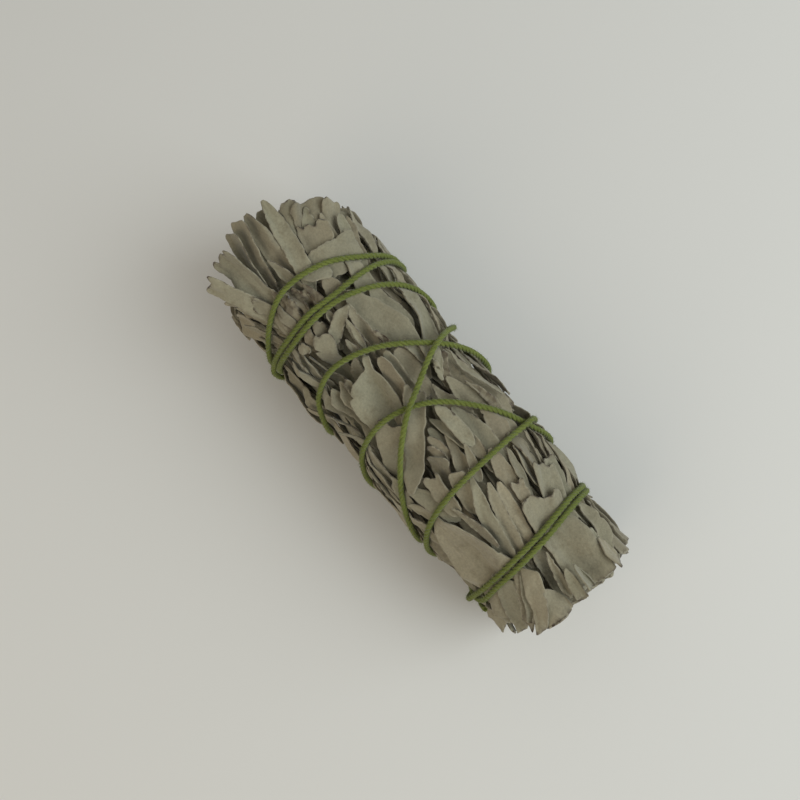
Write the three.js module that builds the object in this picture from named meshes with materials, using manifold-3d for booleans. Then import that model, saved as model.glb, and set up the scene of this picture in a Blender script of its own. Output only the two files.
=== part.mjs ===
// A bunch of dried white sage: leaves pressed round a few cut stems and bound with one green cotton string.
// Millimetres, +Z up. The bunch lies along X, with its leaf tips at +X and its cut end at -X. The origin is
// the middle of the flat that it rests on. Leaves are laid one on another in a height field round the axis:
// each leaf drapes over what lies under it, and its curled margins are pressed down by what lies over it.
import * as THREE from "three";
import { mergeVertices } from "three/addons/utils/BufferGeometryUtils.js";
import Module from "manifold-3d";

const wasm = await Module();
wasm.setup();

// ---------------------------------------------------------------- driving dimensions
const CUT_END = -50.5; // where the leaves are cut off
const TIP_END = 52; // where the longest leaf tips reach
const AXIS_HEIGHT = 15.7; // the axis over the surface that the bunch rests on
const BODY_STATIONS = [
  // [x, radius of the pressed leaves]
  [-60, 16.2],
  [-50, 16.1],
  [-36, 15.1],
  [-24, 16.4],
  [-8, 16.7],
  [6, 16.4],
  [22, 16.2],
  [34, 16.9],
  [46, 16.7],
  [60, 16.4],
];

const LEAF_THICKNESS = 0.5; // a dried leaf, felted on both sides
const BLADE_THICKNESS = 0.7; // the same leaf as a solid here
const ROOTED_DEPTH = 1.6; // how far a blade reaches into the pressed leaves under it
const LEAF_SEED = 20;
const GOLDEN_TURN = 2.39996;

const HEART_LEAVES = 40; // inner leaves that show at each end
const HEART_BLADES = 4; // one in so many of them is a solid
const OUTER_BLADES = 46; // of the outer leaves, so many that show most are solids
const HEART_START = { cut: 5.4, middle: 10.5, tip: 1.6 }; // radius that the first leaves are laid on

const CORE_ENDS = [-47.5, 43];
const CORE_ROWS = 16;
const CORE_SIDES = 22;
const CORE_DEPTH = 0.8; // how far the core stays under the outermost leaves
const CORE_TAPER = 6; // how much thinner it is among the leaf tips

const STRING_DIAMETER = 1.3;
const STRING_SIDES = 6;
const GROOVE_SIDES = 4;
const STRING_STEP = 6.5;
const STRING_LIFT = 0.45; // string centre over the body's radius
const CLEARANCE = 0.3;
const GROUND_GAP = 0.15; // string over the surface that the bunch rests on
const REST_TRIM = 0.4; // the leaves are cut flat by so much where they rest

const STEM_LENGTH = 34;
const STEM_CORNER = 0.25; // corner radius as a share of the width
const STEMS = [
  // [distance from the axis, degrees round it, width, roll in degrees, how far it stands out of the cut end]
  [0.2, 0, 2.5, 10, 0.4],
  [3.7, 24, 2.1, 40, -0.5],
  [3.7, 110, 2.3, 15, 0.1],
  [3.7, 195, 1.9, 60, 0.6],
  [3.7, 285, 2.2, 32, -0.2],
];

// The string's route as [degrees round the axis, x]. 0 is the top and 90 the +Y side, and it goes on round.
const STRING_ROUTE = [
  // a short tail, and the first turn of the tie at the cut end
  [86, -40.6], [112, -38.6], [180, -36.8], [270, -35.9], [318, -35.4], [360, -36.6], [405, -37.8],
  [440, -38.4], [490, -33.5], [540, -29.0],
  // three open turns up the bunch
  [630, -23.6], [660, -19.6], [684, -11.7], [714, -3.3], [743, 0.1], [776, -0.8], [805, -4.8], [835, -8.4],
  [900, -8.4], [990, -3.6], [1018, 1.0], [1050, 6.8], [1081, 12.2], [1112, 14.6], [1141, 12.7], [1166, 8.3],
  [1200, 6.8], [1260, 8.0], [1350, 13.6], [1377, 17.8], [1406, 21.4], [1436, 23.8], [1459, 24.2],
  [1485, 23.7], [1500, 23.7], [1530, 24.0],
  // the turn nearest the leaf tips, and the turn back over it
  [1620, 24.4], [1708, 25.2], [1758, 27.8], [1792, 31.4], [1823, 32.3], [1849, 29.8], [1866, 27.8],
  [1884, 26.6], [1920, 26.0], [1980, 25.2], [2068, 24.4], [2120, 25.6], [2160, 25.2], [2179, 25.6],
  [2205, 25.1], [2223, 25.1],
  // back down, crossing the open turns
  [2250, 24.9], [2340, 15.8], [2428, 7.8], [2484, 5.6], [2517, 0.8], [2544, -4.3], [2574, -12.1],
  [2607, -20.4], [2640, -22.6], [2700, -21.4], [2788, -18.3], [2846, -17.7], [2898, -18.4], [2930, -20.2],
  // the second turn of the tie, beside the first, and its end beside the tail
  [2960, -23.4], [2990, -26.6], [3060, -31.0], [3150, -34.5], [3198, -34.0], [3240, -35.2], [3285, -36.4],
  [3320, -37.0], [3346, -37.0], [3372, -36.0],
];

// Leaves that lie on the upper side, from the lowest to the top one.
// [root x, root degrees, tip x, tip degrees, width, sag,
//  curl of the margin on the low-angle side, curl on the high-angle side, end, lift of the tip]
const UPPER_LEAVES = [
  // the fan of leaf tips
  [26, -30, 47, -28, 13, 1, 25, 20, "round"],
  [24, -56, 45.5, -50, 11, -1, 20, 40, "round"],
  [25, 70, 42, 76, 9, 0.5, 30, 20, "point", 3],
  [26, 54, 46, 64, 9, 0.5, 20, 20, "torn", 5],
  [29, 42, 47, 41, 8.5, 0.6, 30, 20, "round", 3.6],
  [31, 30, 48.5, 26, 5.5, 1, 120, 10, "round"],
  [32, 24, 49.5, 17, 5.5, 1, 10, 120, "round"],
  [28, 16, 49.8, 8, 9, 1, 30, 70, "round"],
  [30, -16, 43, -24, 10, 0, 10, 20, "torn"],
  [29, -2, 51.5, -6, 7.5, 0.6, 15, 80, "round"],
  [25, -58, 40, -68, 4.5, 0.5, 70, 10, "point"],
  [28, -58, 31, 9, 8.5, -1, 20, 60, "round"],
  [24, 42, 31, 24, 7, 1, 60, 60, "torn"],
  [25, 22, 32, 9, 5, -1, 60, 90, "torn"],
  // between the tie and the crossings
  [12, -62, 30, -28, 12, 2, 20, 50, "round"],
  [3, -38, 25, -9, 14, -1.5, 10, 60, "point"],
  [7, 52, 22, 44, 9, 1, 70, 40, "round"],
  [9, 33, 23, 12, 9.5, 1, 110, 20, "torn"],
  [8, 5, 20.5, -2, 6, 0.5, 110, 110, "round"],
  [-8, 68, 20, 62, 8, 1, 70, 60, "point"],
  [-28, 72, 4, 62, 9, -1, 50, 70, "round"],
  // among the crossings
  [0, -3, 12, -12, 8, 0.6, 20, 20, "round"],
  [-17, -52, 7, -37, 9, 1, 40, 60, "point"],
  [-25, -34, 1.5, -22, 8, 1, 20, 60, "round"],
  [-22, -14, -2, -9, 8, 0.5, 30, 30, "point"],
  [2, 35, 14, 26, 8, -0.5, 20, 50, "round"],
  [-5, 39, 12, 11, 15, 1, 15, 10, "round"],
  [-14, 54, 0.5, 27, 9, 0, 10, 10, "torn"],
  [-14, 16, -4, 3, 7, 0.5, 60, 60, "point"],
  [-20, 7, -8.5, 0, 5.5, 0.5, 70, 10, "point"],
  [-19, 27, -11, 17, 7, 0, 100, 100, "round"],
  [-21, 31, -13.5, 19, 5, 0.5, 60, 20, "torn"],
  [-13.5, 42, 4, -17, 6.5, -1.5, 50, 15, "round"],
  [-24, 27, -14, 2, 7.5, 1, 20, 40, "torn"],
  [-20, 28, -13.5, 53, 5, -0.6, 20, 50, "point"],
  [-31, 58, -12, 64, 8, 0.5, 40, 60, "round"],
  // the cut end
  [-51, -62, -24, -62, 12, 1, 20, 30, "round"],
  [-45, -52, -21, -36, 12, 1, 20, 20, "torn"],
  [-46, -19, -23.5, -22, 17, 0.5, 10, 10, "torn"],
  [-50, 42, -22, 43, 18, 0.5, 15, 15, "torn"],
  [-37, 4, -20, -9, 5.5, 0.5, 110, 40, "point"],
  [-34, 15, -16.5, -1, 7.5, -0.6, 20, 100, "point"],
  [-50.5, 34, -36, 22, 5.5, 0.5, 110, 20, "cut"],
  [-50.5, 22, -36, 13, 5.5, -0.5, 110, 10, "cut"],
  [-51, 11, -40, 8, 8.5, 0.3, 40, 30, "cut"],
  [-50.5, -4, -40, -2, 4.5, 0.3, 100, 60, "cut"],
  [-50, -13, -41, -9, 5, 0.3, 30, 100, "cut"],
];

// A leaf pressed flat under the middle, where the bunch rests.
const UNDER_LEAF = [-10.5, 182, 12.5, 182, 12, 0, 0, 0, "round"];

// ---------------------------------------------------------------- small helpers
const DEGREE = Math.PI / 180;
const TURN = 2 * Math.PI;
const clamp = (v, low, high) => Math.min(high, Math.max(low, v));
const mix = (a, b, t) => a + (b - a) * t;
const ease = (low, high, v) => {
  const t = clamp((v - low) / (high - low), 0, 1);
  return t * t * (3 - 2 * t);
};

// Seeded draws from 0 to 1.
function drawsFrom(seed) {
  let state = seed >>> 0;
  return () => {
    state = (state + 0x6d2b79f5) >>> 0;
    let t = Math.imul(state ^ (state >>> 15), state | 1);
    t ^= t + Math.imul(t ^ (t >>> 7), t | 61);
    return ((t ^ (t >>> 14)) >>> 0) / 4294967296;
  };
}

// A Catmull-Rom curve through [place, value] stations.
function alongStations(stations, place) {
  const last = stations.length - 1;
  let k = 0;
  while (k < last - 1 && stations[k + 1][0] < place) k += 1;
  const before = stations[Math.max(k - 1, 0)];
  const [from, to] = [stations[k], stations[k + 1]];
  const after = stations[Math.min(k + 2, last)];
  const t = clamp((place - from[0]) / (to[0] - from[0]), 0, 1);
  const span = to[0] - from[0];
  const slopeIn = (to[1] - before[1]) / (to[0] - before[0]) * span;
  const slopeOut = (after[1] - from[1]) / (after[0] - from[0]) * span;
  const t2 = t * t;
  const t3 = t2 * t;
  return (2 * t3 - 3 * t2 + 1) * from[1] + (t3 - 2 * t2 + t) * slopeIn
    + (3 * t2 - 2 * t3) * to[1] + (t3 - t2) * slopeOut;
}

const bodyRadius = (x) => alongStations(BODY_STATIONS, x);

// Long shallow ridges in the pressed leaves, and pleats where they are gathered beyond the tie.
function relief(x, a) {
  const ridges = 0.28 * Math.sin(7 * a + 0.06 * x + 1.3) + 0.22 * Math.sin(11 * a - 0.09 * x + 4.1)
    + 0.25 * Math.sin(0.23 * x + 3 * a + 0.7);
  const pleats = 0.75 * Math.sin(15 * a + 2.2 + 0.5 * Math.sin(4 * a)) * ease(-37, -48, x);
  return ridges + pleats;
}

const placeRound = (x, a, r) => [x, r * Math.sin(a), AXIS_HEIGHT + r * Math.cos(a)];

// ---------------------------------------------------------------- the height field round the axis
const CELL = 0.8;
const FIELD_START = -60;
const ROWS = 151;
const COLUMNS = 120;
const COLUMN_ANGLE = TURN / COLUMNS;
const wrap = (j) => ((j % COLUMNS) + COLUMNS) % COLUMNS;

function fieldOf(value) {
  const field = new Float64Array(ROWS * COLUMNS);
  for (let i = 0; i < ROWS; i += 1)
    for (let j = 0; j < COLUMNS; j += 1)
      field[i * COLUMNS + j] = value(FIELD_START + i * CELL, j * COLUMN_ANGLE);
  return field;
}

function at(field, x, a) {
  const fx = clamp((x - FIELD_START) / CELL, 0, ROWS - 1.001);
  const fa = a / COLUMN_ANGLE;
  const i = Math.floor(fx);
  const j = Math.floor(fa);
  const [tx, ta] = [fx - i, fa - j];
  const [j0, j1] = [wrap(j), wrap(j + 1)];
  return mix(
    mix(field[i * COLUMNS + j0], field[i * COLUMNS + j1], ta),
    mix(field[(i + 1) * COLUMNS + j0], field[(i + 1) * COLUMNS + j1], ta),
    tx,
  );
}

// Each cell becomes fold(values within reach of it), first along X and then round the axis.
function spread(field, reach, fold) {
  const along = new Float64Array(field.length);
  const out = new Float64Array(field.length);
  const window = new Array(2 * reach + 1);
  for (let i = 0; i < ROWS; i += 1)
    for (let j = 0; j < COLUMNS; j += 1) {
      for (let k = -reach; k <= reach; k += 1)
        window[k + reach] = field[clamp(i + k, 0, ROWS - 1) * COLUMNS + j];
      along[i * COLUMNS + j] = fold(window);
    }
  for (let i = 0; i < ROWS; i += 1)
    for (let j = 0; j < COLUMNS; j += 1) {
      for (let k = -reach; k <= reach; k += 1) window[k + reach] = along[i * COLUMNS + wrap(j + k)];
      out[i * COLUMNS + j] = fold(window);
    }
  return out;
}
const highest = (values) => {
  let most = values[0];
  for (const v of values) if (v > most) most = v;
  return most;
};
const average = (values) => {
  let sum = 0;
  for (const v of values) sum += v;
  return sum / values.length;
};
const drapedOver = (field) => spread(spread(field, 2, highest), 2, average);

// Lowers a ceiling so that it rises from its low places at no more than a slope.
function slopeLimited(field, slope) {
  const stepX = slope * CELL;
  const stepA = slope * COLUMN_ANGLE * AXIS_HEIGHT;
  for (let sweep = 0; sweep < 2; sweep += 1) {
    for (let i = 0; i < ROWS; i += 1)
      for (let j = 0; j < 2 * COLUMNS; j += 1) {
        const c = i * COLUMNS + wrap(j);
        field[c] = Math.min(field[c], field[i * COLUMNS + wrap(j - 1)] + stepA);
        if (i > 0) field[c] = Math.min(field[c], field[c - COLUMNS] + stepX);
      }
    for (let i = ROWS - 1; i >= 0; i -= 1)
      for (let j = 2 * COLUMNS - 1; j >= 0; j -= 1) {
        const c = i * COLUMNS + wrap(j);
        field[c] = Math.min(field[c], field[i * COLUMNS + wrap(j + 1)] + stepA);
        if (i < ROWS - 1) field[c] = Math.min(field[c], field[c + COLUMNS] + stepX);
      }
  }
}

// ---------------------------------------------------------------- one leaf
// How a leaf's outline closes towards an end, from 0 there to 1 inside.
const rounded = (share, power) => (share >= 1 ? 1 : Math.pow(Math.max(0, share * (2 - share)), power));

function halfWidth(leaf, v, side) {
  const wave = 0.07 * Math.sin(9 * v + leaf.phase + side) + 0.04 * Math.sin(23 * v + 2 * leaf.phase - side);
  const base = rounded((v + 0.02) / leaf.baseReach, leaf.basePower);
  const tip = rounded((1.02 - v) / leaf.tipReach, leaf.tipPower);
  return (leaf.width / 2) * base * tip * (1 + wave);
}

// How far a margin has turned: the way across is kept, so a curled leaf is narrower.
function bent(bend, along, half) {
  const past = along - bend.at * half;
  if (past <= 0) return [along, 0];
  const turned = Math.min(past / bend.radius, Math.abs(bend.angle));
  const rest = past - turned * bend.radius;
  const across = bend.at * half + bend.radius * Math.sin(turned) + rest * Math.cos(turned);
  const up = bend.radius * (1 - Math.cos(turned)) + rest * Math.sin(turned);
  return [across, bend.angle < 0 ? -up : up];
}

// What lies over a margin keeps it from standing up by more than about `most`.
const held = (up, most) => (up > 0 ? most * (1 - Math.exp(-up / most)) : up);

// A point of the leaf: its place round the bunch, and how far it stands over what the leaf lies on.
function leafPoint(leaf, u, v) {
  const side = u < 0 ? -1 : 1;
  const half = halfWidth(leaf, v, side);
  const bend = side < 0 ? leaf.low : leaf.high;
  const [across, up] = bent(bend, Math.abs(u) * half, half);
  const along = (v - 0.5) * leaf.length;
  const bowed = 0.5 * leaf.bow * along * along;
  const heading = leaf.turn + leaf.bow * along;
  const q = across * side;
  const x = leaf.x + along * Math.cos(leaf.turn) - bowed * Math.sin(leaf.turn) - q * Math.sin(heading);
  const round = along * Math.sin(leaf.turn) + bowed * Math.cos(leaf.turn) + q * Math.cos(heading);
  const ripple = leaf.ripple * u * u * Math.sin(leaf.rippleRate * v + leaf.phase * (2 + side));
  const loose = ease(30, 50, x);
  const rise = leaf.rise * loose * (0.4 + 0.6 * u * side);
  const lift = leaf.lift * v * v;
  return { x, a: leaf.a + round / leaf.reference, up: held(up + ripple, mix(1.2, 3, loose)) + rise + lift };
}

function bendOf(draw, most, radius) {
  const angle = draw() * most * DEGREE * (draw() < 0.25 ? -0.3 : 1);
  return { at: 0.35 + 0.4 * draw(), radius: radius * (0.7 + 0.8 * draw()), angle };
}

// Draws are made in one fixed order, so that the same leaves come out wherever this rule is followed.
function drawnLeaf(draw, kind, x, a) {
  const leaf = { a, lift: 0, cut: kind.cut, root: kind.cut ? 0 : kind.root };
  leaf.length = kind.length[0] + draw() * (kind.length[1] - kind.length[0]);
  leaf.width = kind.width[0] + draw() * (kind.width[1] - kind.width[0]);
  leaf.turn = (draw() + draw() - 1) * kind.turn * DEGREE;
  leaf.bow = (draw() - 0.5) * kind.bow;
  leaf.low = bendOf(draw, kind.curl, kind.curlRadius);
  leaf.high = bendOf(draw, kind.curl, kind.curlRadius);
  leaf.phase = draw() * TURN;
  leaf.ripple = kind.ripple * draw();
  leaf.rippleRate = 7 + 8 * draw();
  leaf.rise = kind.rise * draw();
  leaf.baseReach = kind.cut ? 0.05 : 0.45;
  leaf.basePower = 0.7;
  leaf.tipReach = 0.35 + 0.3 * draw();
  leaf.tipPower = 0.5 + 0.35 * draw();
  // x is a leaf's middle, its cut end or its tip
  leaf.x = x + (kind.anchor * leaf.length) / 2 + (draw() - 0.5) * kind.scatter;
  return leaf;
}

// One of the listed leaves.
function upperLeaf(draw, [rootX, rootTurn, tipX, tipTurn, width, sag, lowCurl, highCurl, end, lift = 0]) {
  const reach = bodyRadius((rootX + tipX) / 2) * DEGREE;
  const round = (tipTurn - rootTurn) * reach;
  const leaf = { a: ((rootTurn + tipTurn) / 2) * DEGREE, x: (rootX + tipX) / 2, width, lift, root: 0 };
  leaf.length = Math.hypot(tipX - rootX, round);
  leaf.turn = Math.atan2(round, tipX - rootX);
  leaf.bow = (-8 * sag) / leaf.length ** 2;
  leaf.low = { at: 0.3 + 0.3 * draw(), radius: 0.7 + 0.5 * draw(), angle: lowCurl * DEGREE };
  leaf.high = { at: 0.3 + 0.3 * draw(), radius: 0.7 + 0.5 * draw(), angle: highCurl * DEGREE };
  leaf.phase = draw() * TURN;
  leaf.ripple = 0.2 + 0.25 * draw();
  leaf.rippleRate = 7 + 8 * draw();
  leaf.rise = 1.2 * draw();
  leaf.cut = end === "cut" || rootX < CUT_END + 1.6;
  leaf.baseReach = leaf.cut ? 0.05 : 0.3;
  leaf.basePower = 0.6;
  leaf.tipReach = { round: 0.35, point: 0.75, torn: 0.08, cut: 0.4 }[end];
  leaf.tipPower = { round: 0.5, point: 0.8, torn: 0.3, cut: 0.6 }[end];
  return leaf;
}

const HEART_TIP = {
  length: [24, 30], width: [7, 11], turn: 8, bow: 0.006, curl: 60, curlRadius: 2.4, ripple: 0.35, rise: 0,
  cut: false, root: 0.55, anchor: -1, scatter: 3,
};
const HEART_CUT = {
  length: [22, 28], width: [7, 11.5], turn: 7, bow: 0.006, curl: 60, curlRadius: 2.2, ripple: 0.4, rise: 0,
  cut: true, anchor: 1, scatter: 1.6,
};
const COAT_CUT = {
  length: [30, 46], width: [11, 16], turn: 14, bow: 0.012, curl: 75, curlRadius: 1.8, ripple: 0.5, rise: 0,
  cut: true, anchor: 1, scatter: 2,
};
const COAT_MIDDLE = {
  length: [32, 50], width: [10, 16], turn: 32, bow: 0.02, curl: 95, curlRadius: 1.6, ripple: 0.5, rise: 0,
  cut: false, root: 0, anchor: 0, scatter: 12,
};
const COAT_TIP = {
  length: [30, 46], width: [9, 14], turn: 13, bow: 0.012, curl: 85, curlRadius: 1.8, ripple: 0.5, rise: 2.4,
  cut: false, root: 0, anchor: -1, scatter: 5,
};

const COATS = 2;
const COAT_ROWS = [
  // [kind, x, leaves round the bunch]
  [COAT_CUT, CUT_END, 13],
  [COAT_MIDDLE, -16, 12],
  [COAT_MIDDLE, 8, 12],
  [COAT_TIP, 48, 14],
];

function heartLeaves(draw) {
  const leaves = [];
  for (let k = 0; k < HEART_LEAVES; k += 1) {
    leaves.push(drawnLeaf(draw, HEART_TIP, TIP_END - (4 * k) / HEART_LEAVES, k * GOLDEN_TURN));
    leaves.push(drawnLeaf(draw, HEART_CUT, CUT_END, k * GOLDEN_TURN + 1));
  }
  return leaves;
}

function coatLeaves(draw) {
  const leaves = [];
  for (let coat = 0; coat < COATS; coat += 1) {
    const laid = [];
    for (const [kind, x, count] of COAT_ROWS)
      for (let k = 0; k < count; k += 1)
        laid.push(drawnLeaf(draw, kind, x, ((k + 0.5 * coat + 0.5 * draw()) * TURN) / count));
    for (let k = laid.length - 1; k > 0; k -= 1) {
      const other = Math.floor(draw() * (k + 1));
      [laid[k], laid[other]] = [laid[other], laid[k]];
    }
    leaves.push(...laid);
  }
  return leaves;
}

// ---------------------------------------------------------------- the string's line
const STRING_SAMPLE = 1.5; // degrees
const CROSSING_SAMPLES = 9; // a hump over a crossing reaches so far to each side
const TURN_SAMPLES = 360 / STRING_SAMPLE;

// How near the string comes to its own earlier turns: 1 where it crosses one, and 0 clear of them.
function nearness(line, k) {
  const point = line[k];
  let nearest = Infinity;
  for (let m = 0; m < k - 0.8 * TURN_SAMPLES; m += 1) {
    const between = ((((point.a - line[m].a + Math.PI) % TURN) + TURN) % TURN) - Math.PI;
    nearest = Math.min(nearest, Math.hypot(point.x - line[m].x, between * AXIS_HEIGHT));
  }
  return ease(STRING_DIAMETER, 0.3, nearest);
}

function stringLine() {
  const [first] = STRING_ROUTE[0];
  const [end] = STRING_ROUTE[STRING_ROUTE.length - 1];
  const line = [];
  for (let degrees = first; degrees <= end; degrees += STRING_SAMPLE) {
    const x = alongStations(STRING_ROUTE, degrees);
    line.push({ x, a: degrees * DEGREE });
  }
  const near = line.map((point, k) => nearness(line, k));
  line.forEach((point, k) => {
    let hump = 0;
    for (let m = -CROSSING_SAMPLES; m <= CROSSING_SAMPLES; m += 1) {
      const share = 1 - Math.abs(m) / (CROSSING_SAMPLES + 1);
      hump = Math.max(hump, near[clamp(k + m, 0, line.length - 1)] * share);
    }
    const down = Math.max(0.01, -Math.cos(point.a));
    const lowest = (AXIS_HEIGHT - STRING_DIAMETER / 2 - GROUND_GAP) / down;
    point.r = Math.min(bodyRadius(point.x) + STRING_LIFT + STRING_DIAMETER * ease(0, 1, hump), lowest);
  });
  return line;
}

// The highest that leaves may reach: under the string, and a little past the surface that they rest on.
const OPEN = 30;
const STRING_VALLEY = 0.5; // how steeply leaves rise beside the string

function ceilingUnder(line) {
  const ceiling = fieldOf((x, a) => {
    const down = Math.max(0.01, -Math.cos(a));
    return Math.min(OPEN, (AXIS_HEIGHT + REST_TRIM) / down);
  });
  for (const point of line) {
    const fi = Math.round((point.x - FIELD_START) / CELL);
    const fj = Math.round(point.a / COLUMN_ANGLE);
    for (let i = fi - 1; i <= fi + 1; i += 1)
      for (let j = fj - 1; j <= fj + 1; j += 1) {
        const c = i * COLUMNS + wrap(j);
        const round = (j * COLUMN_ANGLE - point.a) * point.r;
        const away = Math.hypot(FIELD_START + i * CELL - point.x, round);
        ceiling[c] = Math.min(ceiling[c], point.r - STRING_DIAMETER / 2 + STRING_VALLEY * away);
      }
  }
  slopeLimited(ceiling, STRING_VALLEY);
  return ceiling;
}

// ---------------------------------------------------------------- laying and pressing the leaves
const SAMPLE_STEP = 0.55;

function eachSample(leaf, visit) {
  const rows = Math.ceil(leaf.length / SAMPLE_STEP);
  const columns = Math.ceil(leaf.width / SAMPLE_STEP);
  for (let m = 0; m <= rows; m += 1)
    for (let n = 0; n <= columns; n += 1) {
      const point = leafPoint(leaf, (2 * n) / columns - 1, m / rows);
      const i = Math.round((point.x - FIELD_START) / CELL);
      if (i < 0 || i >= ROWS) continue;
      visit(point, i * COLUMNS + wrap(Math.round(point.a / COLUMN_ANGLE)));
    }
}

// From the inside out: each leaf drapes over the ones before it. Gives the height that they all reach.
function layLeaves(leaves) {
  const floor = fieldOf((x) => {
    const end = x < 0 ? HEART_START.cut : HEART_START.tip;
    return mix(end, HEART_START.middle, ease(-32, -28, x) * ease(32, 28, x));
  });
  for (const leaf of leaves) {
    leaf.floor = drapedOver(floor);
    leaf.reference = Math.max(2, at(leaf.floor, leaf.x, leaf.a));
    leaf.width = Math.min(leaf.width, leaf.reference * 5);
    eachSample(leaf, (point, cell) => {
      const top = at(leaf.floor, point.x, point.a) + LEAF_THICKNESS + 0.3 * Math.max(point.up, 0);
      if (top > floor[cell]) floor[cell] = top;
    });
  }
  return floor;
}

// What brings the laid leaves to the body's radius.
function pressOf(floor) {
  const inside = fieldOf((x, a) => at(floor, clamp(x, -44, 42), a));
  const level = spread(spread(spread(inside, 2, highest), 6, average), 5, average);
  return fieldOf((x, a) => (bodyRadius(x) + relief(x, a)) / at(level, x, a));
}

function leafHeight(leaf, press, point, thickness) {
  const free = at(leaf.floor, point.x, point.a) * at(press, point.x, point.a) + thickness / 2 + point.up;
  return Math.min(free, at(leaf.ceiling, point.x, point.a) - thickness / 2);
}

// From the outside in: what lies over a leaf presses it down.
function pressLeaves(leaves, press, ceiling) {
  for (const leaf of [...leaves].reverse()) {
    leaf.ceiling = ceiling.slice();
    leaf.shown = 0;
    eachSample(leaf, (point, cell) => {
      // a leaf tip that stands free counts for more, because both its faces show
      if (leaf.ceiling[cell] > bodyRadius(point.x) + 0.8) leaf.shown += mix(1, 3, ease(38, 46, point.x));
      const low = leafHeight(leaf, press, point, LEAF_THICKNESS) - LEAF_THICKNESS / 2;
      ceiling[cell] = Math.min(ceiling[cell], low);
    });
    slopeLimited(ceiling, 0.9);
  }
}

// ---------------------------------------------------------------- solids
function solidFrom(positions, triangles) {
  const geometry = new THREE.BufferGeometry();
  geometry.setAttribute("position", new THREE.Float32BufferAttribute(positions.flat(), 3));
  geometry.setIndex(triangles);
  return solidOf(geometry);
}

function solidOf(geometry) {
  const bare = geometry.clone();
  bare.deleteAttribute("normal");
  bare.deleteAttribute("uv");
  const merged = mergeVertices(bare, 1e-4);
  return new wasm.Manifold(
    new wasm.Mesh({
      numProp: 3,
      vertProperties: new Float32Array(merged.attributes.position.array),
      triVerts: new Uint32Array(merged.index.array),
    }),
  );
}

// A closed body between an upper and a lower grid of points, with rows along the leaf. Both are split alike.
function gridBody(upper, lower) {
  const rows = upper.length;
  const columns = upper[0].length;
  const positions = [...upper.flat(), ...lower.flat()];
  const top = (i, j) => i * columns + j;
  const bottom = (i, j) => rows * columns + i * columns + j;
  const triangles = [];
  const quad = (a, b, c, d) => triangles.push(a, b, c, a, c, d);
  for (let i = 0; i < rows - 1; i += 1)
    for (let j = 0; j < columns - 1; j += 1) {
      quad(top(i, j), top(i + 1, j), top(i + 1, j + 1), top(i, j + 1));
      triangles.push(bottom(i, j), bottom(i + 1, j + 1), bottom(i + 1, j));
      triangles.push(bottom(i, j), bottom(i, j + 1), bottom(i + 1, j + 1));
    }
  for (let i = 0; i < rows - 1; i += 1) {
    quad(top(i + 1, 0), top(i, 0), bottom(i, 0), bottom(i + 1, 0));
    quad(top(i, columns - 1), top(i + 1, columns - 1), bottom(i + 1, columns - 1), bottom(i, columns - 1));
  }
  for (let j = 0; j < columns - 1; j += 1) {
    quad(top(0, j), top(0, j + 1), bottom(0, j + 1), bottom(0, j));
    quad(top(rows - 1, j + 1), top(rows - 1, j), bottom(rows - 1, j), bottom(rows - 1, j + 1));
  }
  return solidFrom(positions, triangles);
}

// A leaf as a blade. Along the core it is as deep as it takes to be rooted there.
function blade(leaf, press, acrossSteps, alongSteps) {
  const upper = [];
  const lower = [];
  for (let m = 0; m <= alongSteps; m += 1) {
    const high = [];
    const low = [];
    for (let n = 0; n <= acrossSteps; n += 1) {
      const point = leafPoint(leaf, (2 * n) / acrossSteps - 1, mix(leaf.root, 1, m / alongSteps));
      const r = leafHeight(leaf, press, point, BLADE_THICKNESS);
      const [from, to] = CORE_ENDS;
      const inCore = ease(from, from + 4, point.x) * ease(to, to - 9, point.x);
      const depth = BLADE_THICKNESS / 2 + inCore * (ROOTED_DEPTH + 0.7 * Math.max(point.up, 0));
      high.push(placeRound(point.x, point.a, r + BLADE_THICKNESS / 2));
      low.push(placeRound(point.x, point.a, r - Math.min(depth, r / 2)));
    }
    upper.push(high);
    lower.push(low);
  }
  return gridBody(upper, lower);
}

// The pressed leaves under the blades, as one body from end to end.
function core(top, press, ceiling) {
  const positions = [];
  const triangles = [];
  for (let i = 0; i <= CORE_ROWS; i += 1) {
    const x = mix(CORE_ENDS[0], CORE_ENDS[1], i / CORE_ROWS);
    const drawnIn = CORE_TAPER * ease(26, 46, x) ** 2;
    for (let j = 0; j < CORE_SIDES; j += 1) {
      const a = (j * TURN) / CORE_SIDES;
      const laid = at(top, x, a) * at(press, x, a) - CORE_DEPTH - drawnIn;
      positions.push(placeRound(x, a, Math.min(laid, at(ceiling, x, a))));
    }
  }
  const ring = (i, j) => i * CORE_SIDES + (j % CORE_SIDES);
  const first = positions.length;
  positions.push(placeRound(CORE_ENDS[0], 0, 0), placeRound(CORE_ENDS[1], 0, 0));
  for (let j = 0; j < CORE_SIDES; j += 1) {
    for (let i = 0; i < CORE_ROWS; i += 1) {
      triangles.push(ring(i, j), ring(i + 1, j), ring(i + 1, j + 1));
      triangles.push(ring(i, j), ring(i + 1, j + 1), ring(i, j + 1));
    }
    triangles.push(first, ring(0, j), ring(0, j + 1));
    triangles.push(first + 1, ring(CORE_ROWS, j + 1), ring(CORE_ROWS, j));
  }
  return solidFrom(positions, triangles);
}

// The string's line in space, for three.js to extrude along.
class StringCurve extends THREE.Curve {
  constructor(line, from, to) {
    super();
    Object.assign(this, { line, from, to });
    this.arcLengthDivisions = 4 * (to - from);
  }
  getPoint(t, target = new THREE.Vector3()) {
    const place = mix(this.from, this.to, t);
    const k = clamp(Math.floor(place), 0, this.line.length - 2);
    const [one, two] = [this.line[k], this.line[k + 1]];
    const share = place - k;
    const [x, a, r] = ["x", "a", "r"].map((key) => mix(one[key], two[key], share));
    return target.set(...placeRound(x, a, r));
  }
}

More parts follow.
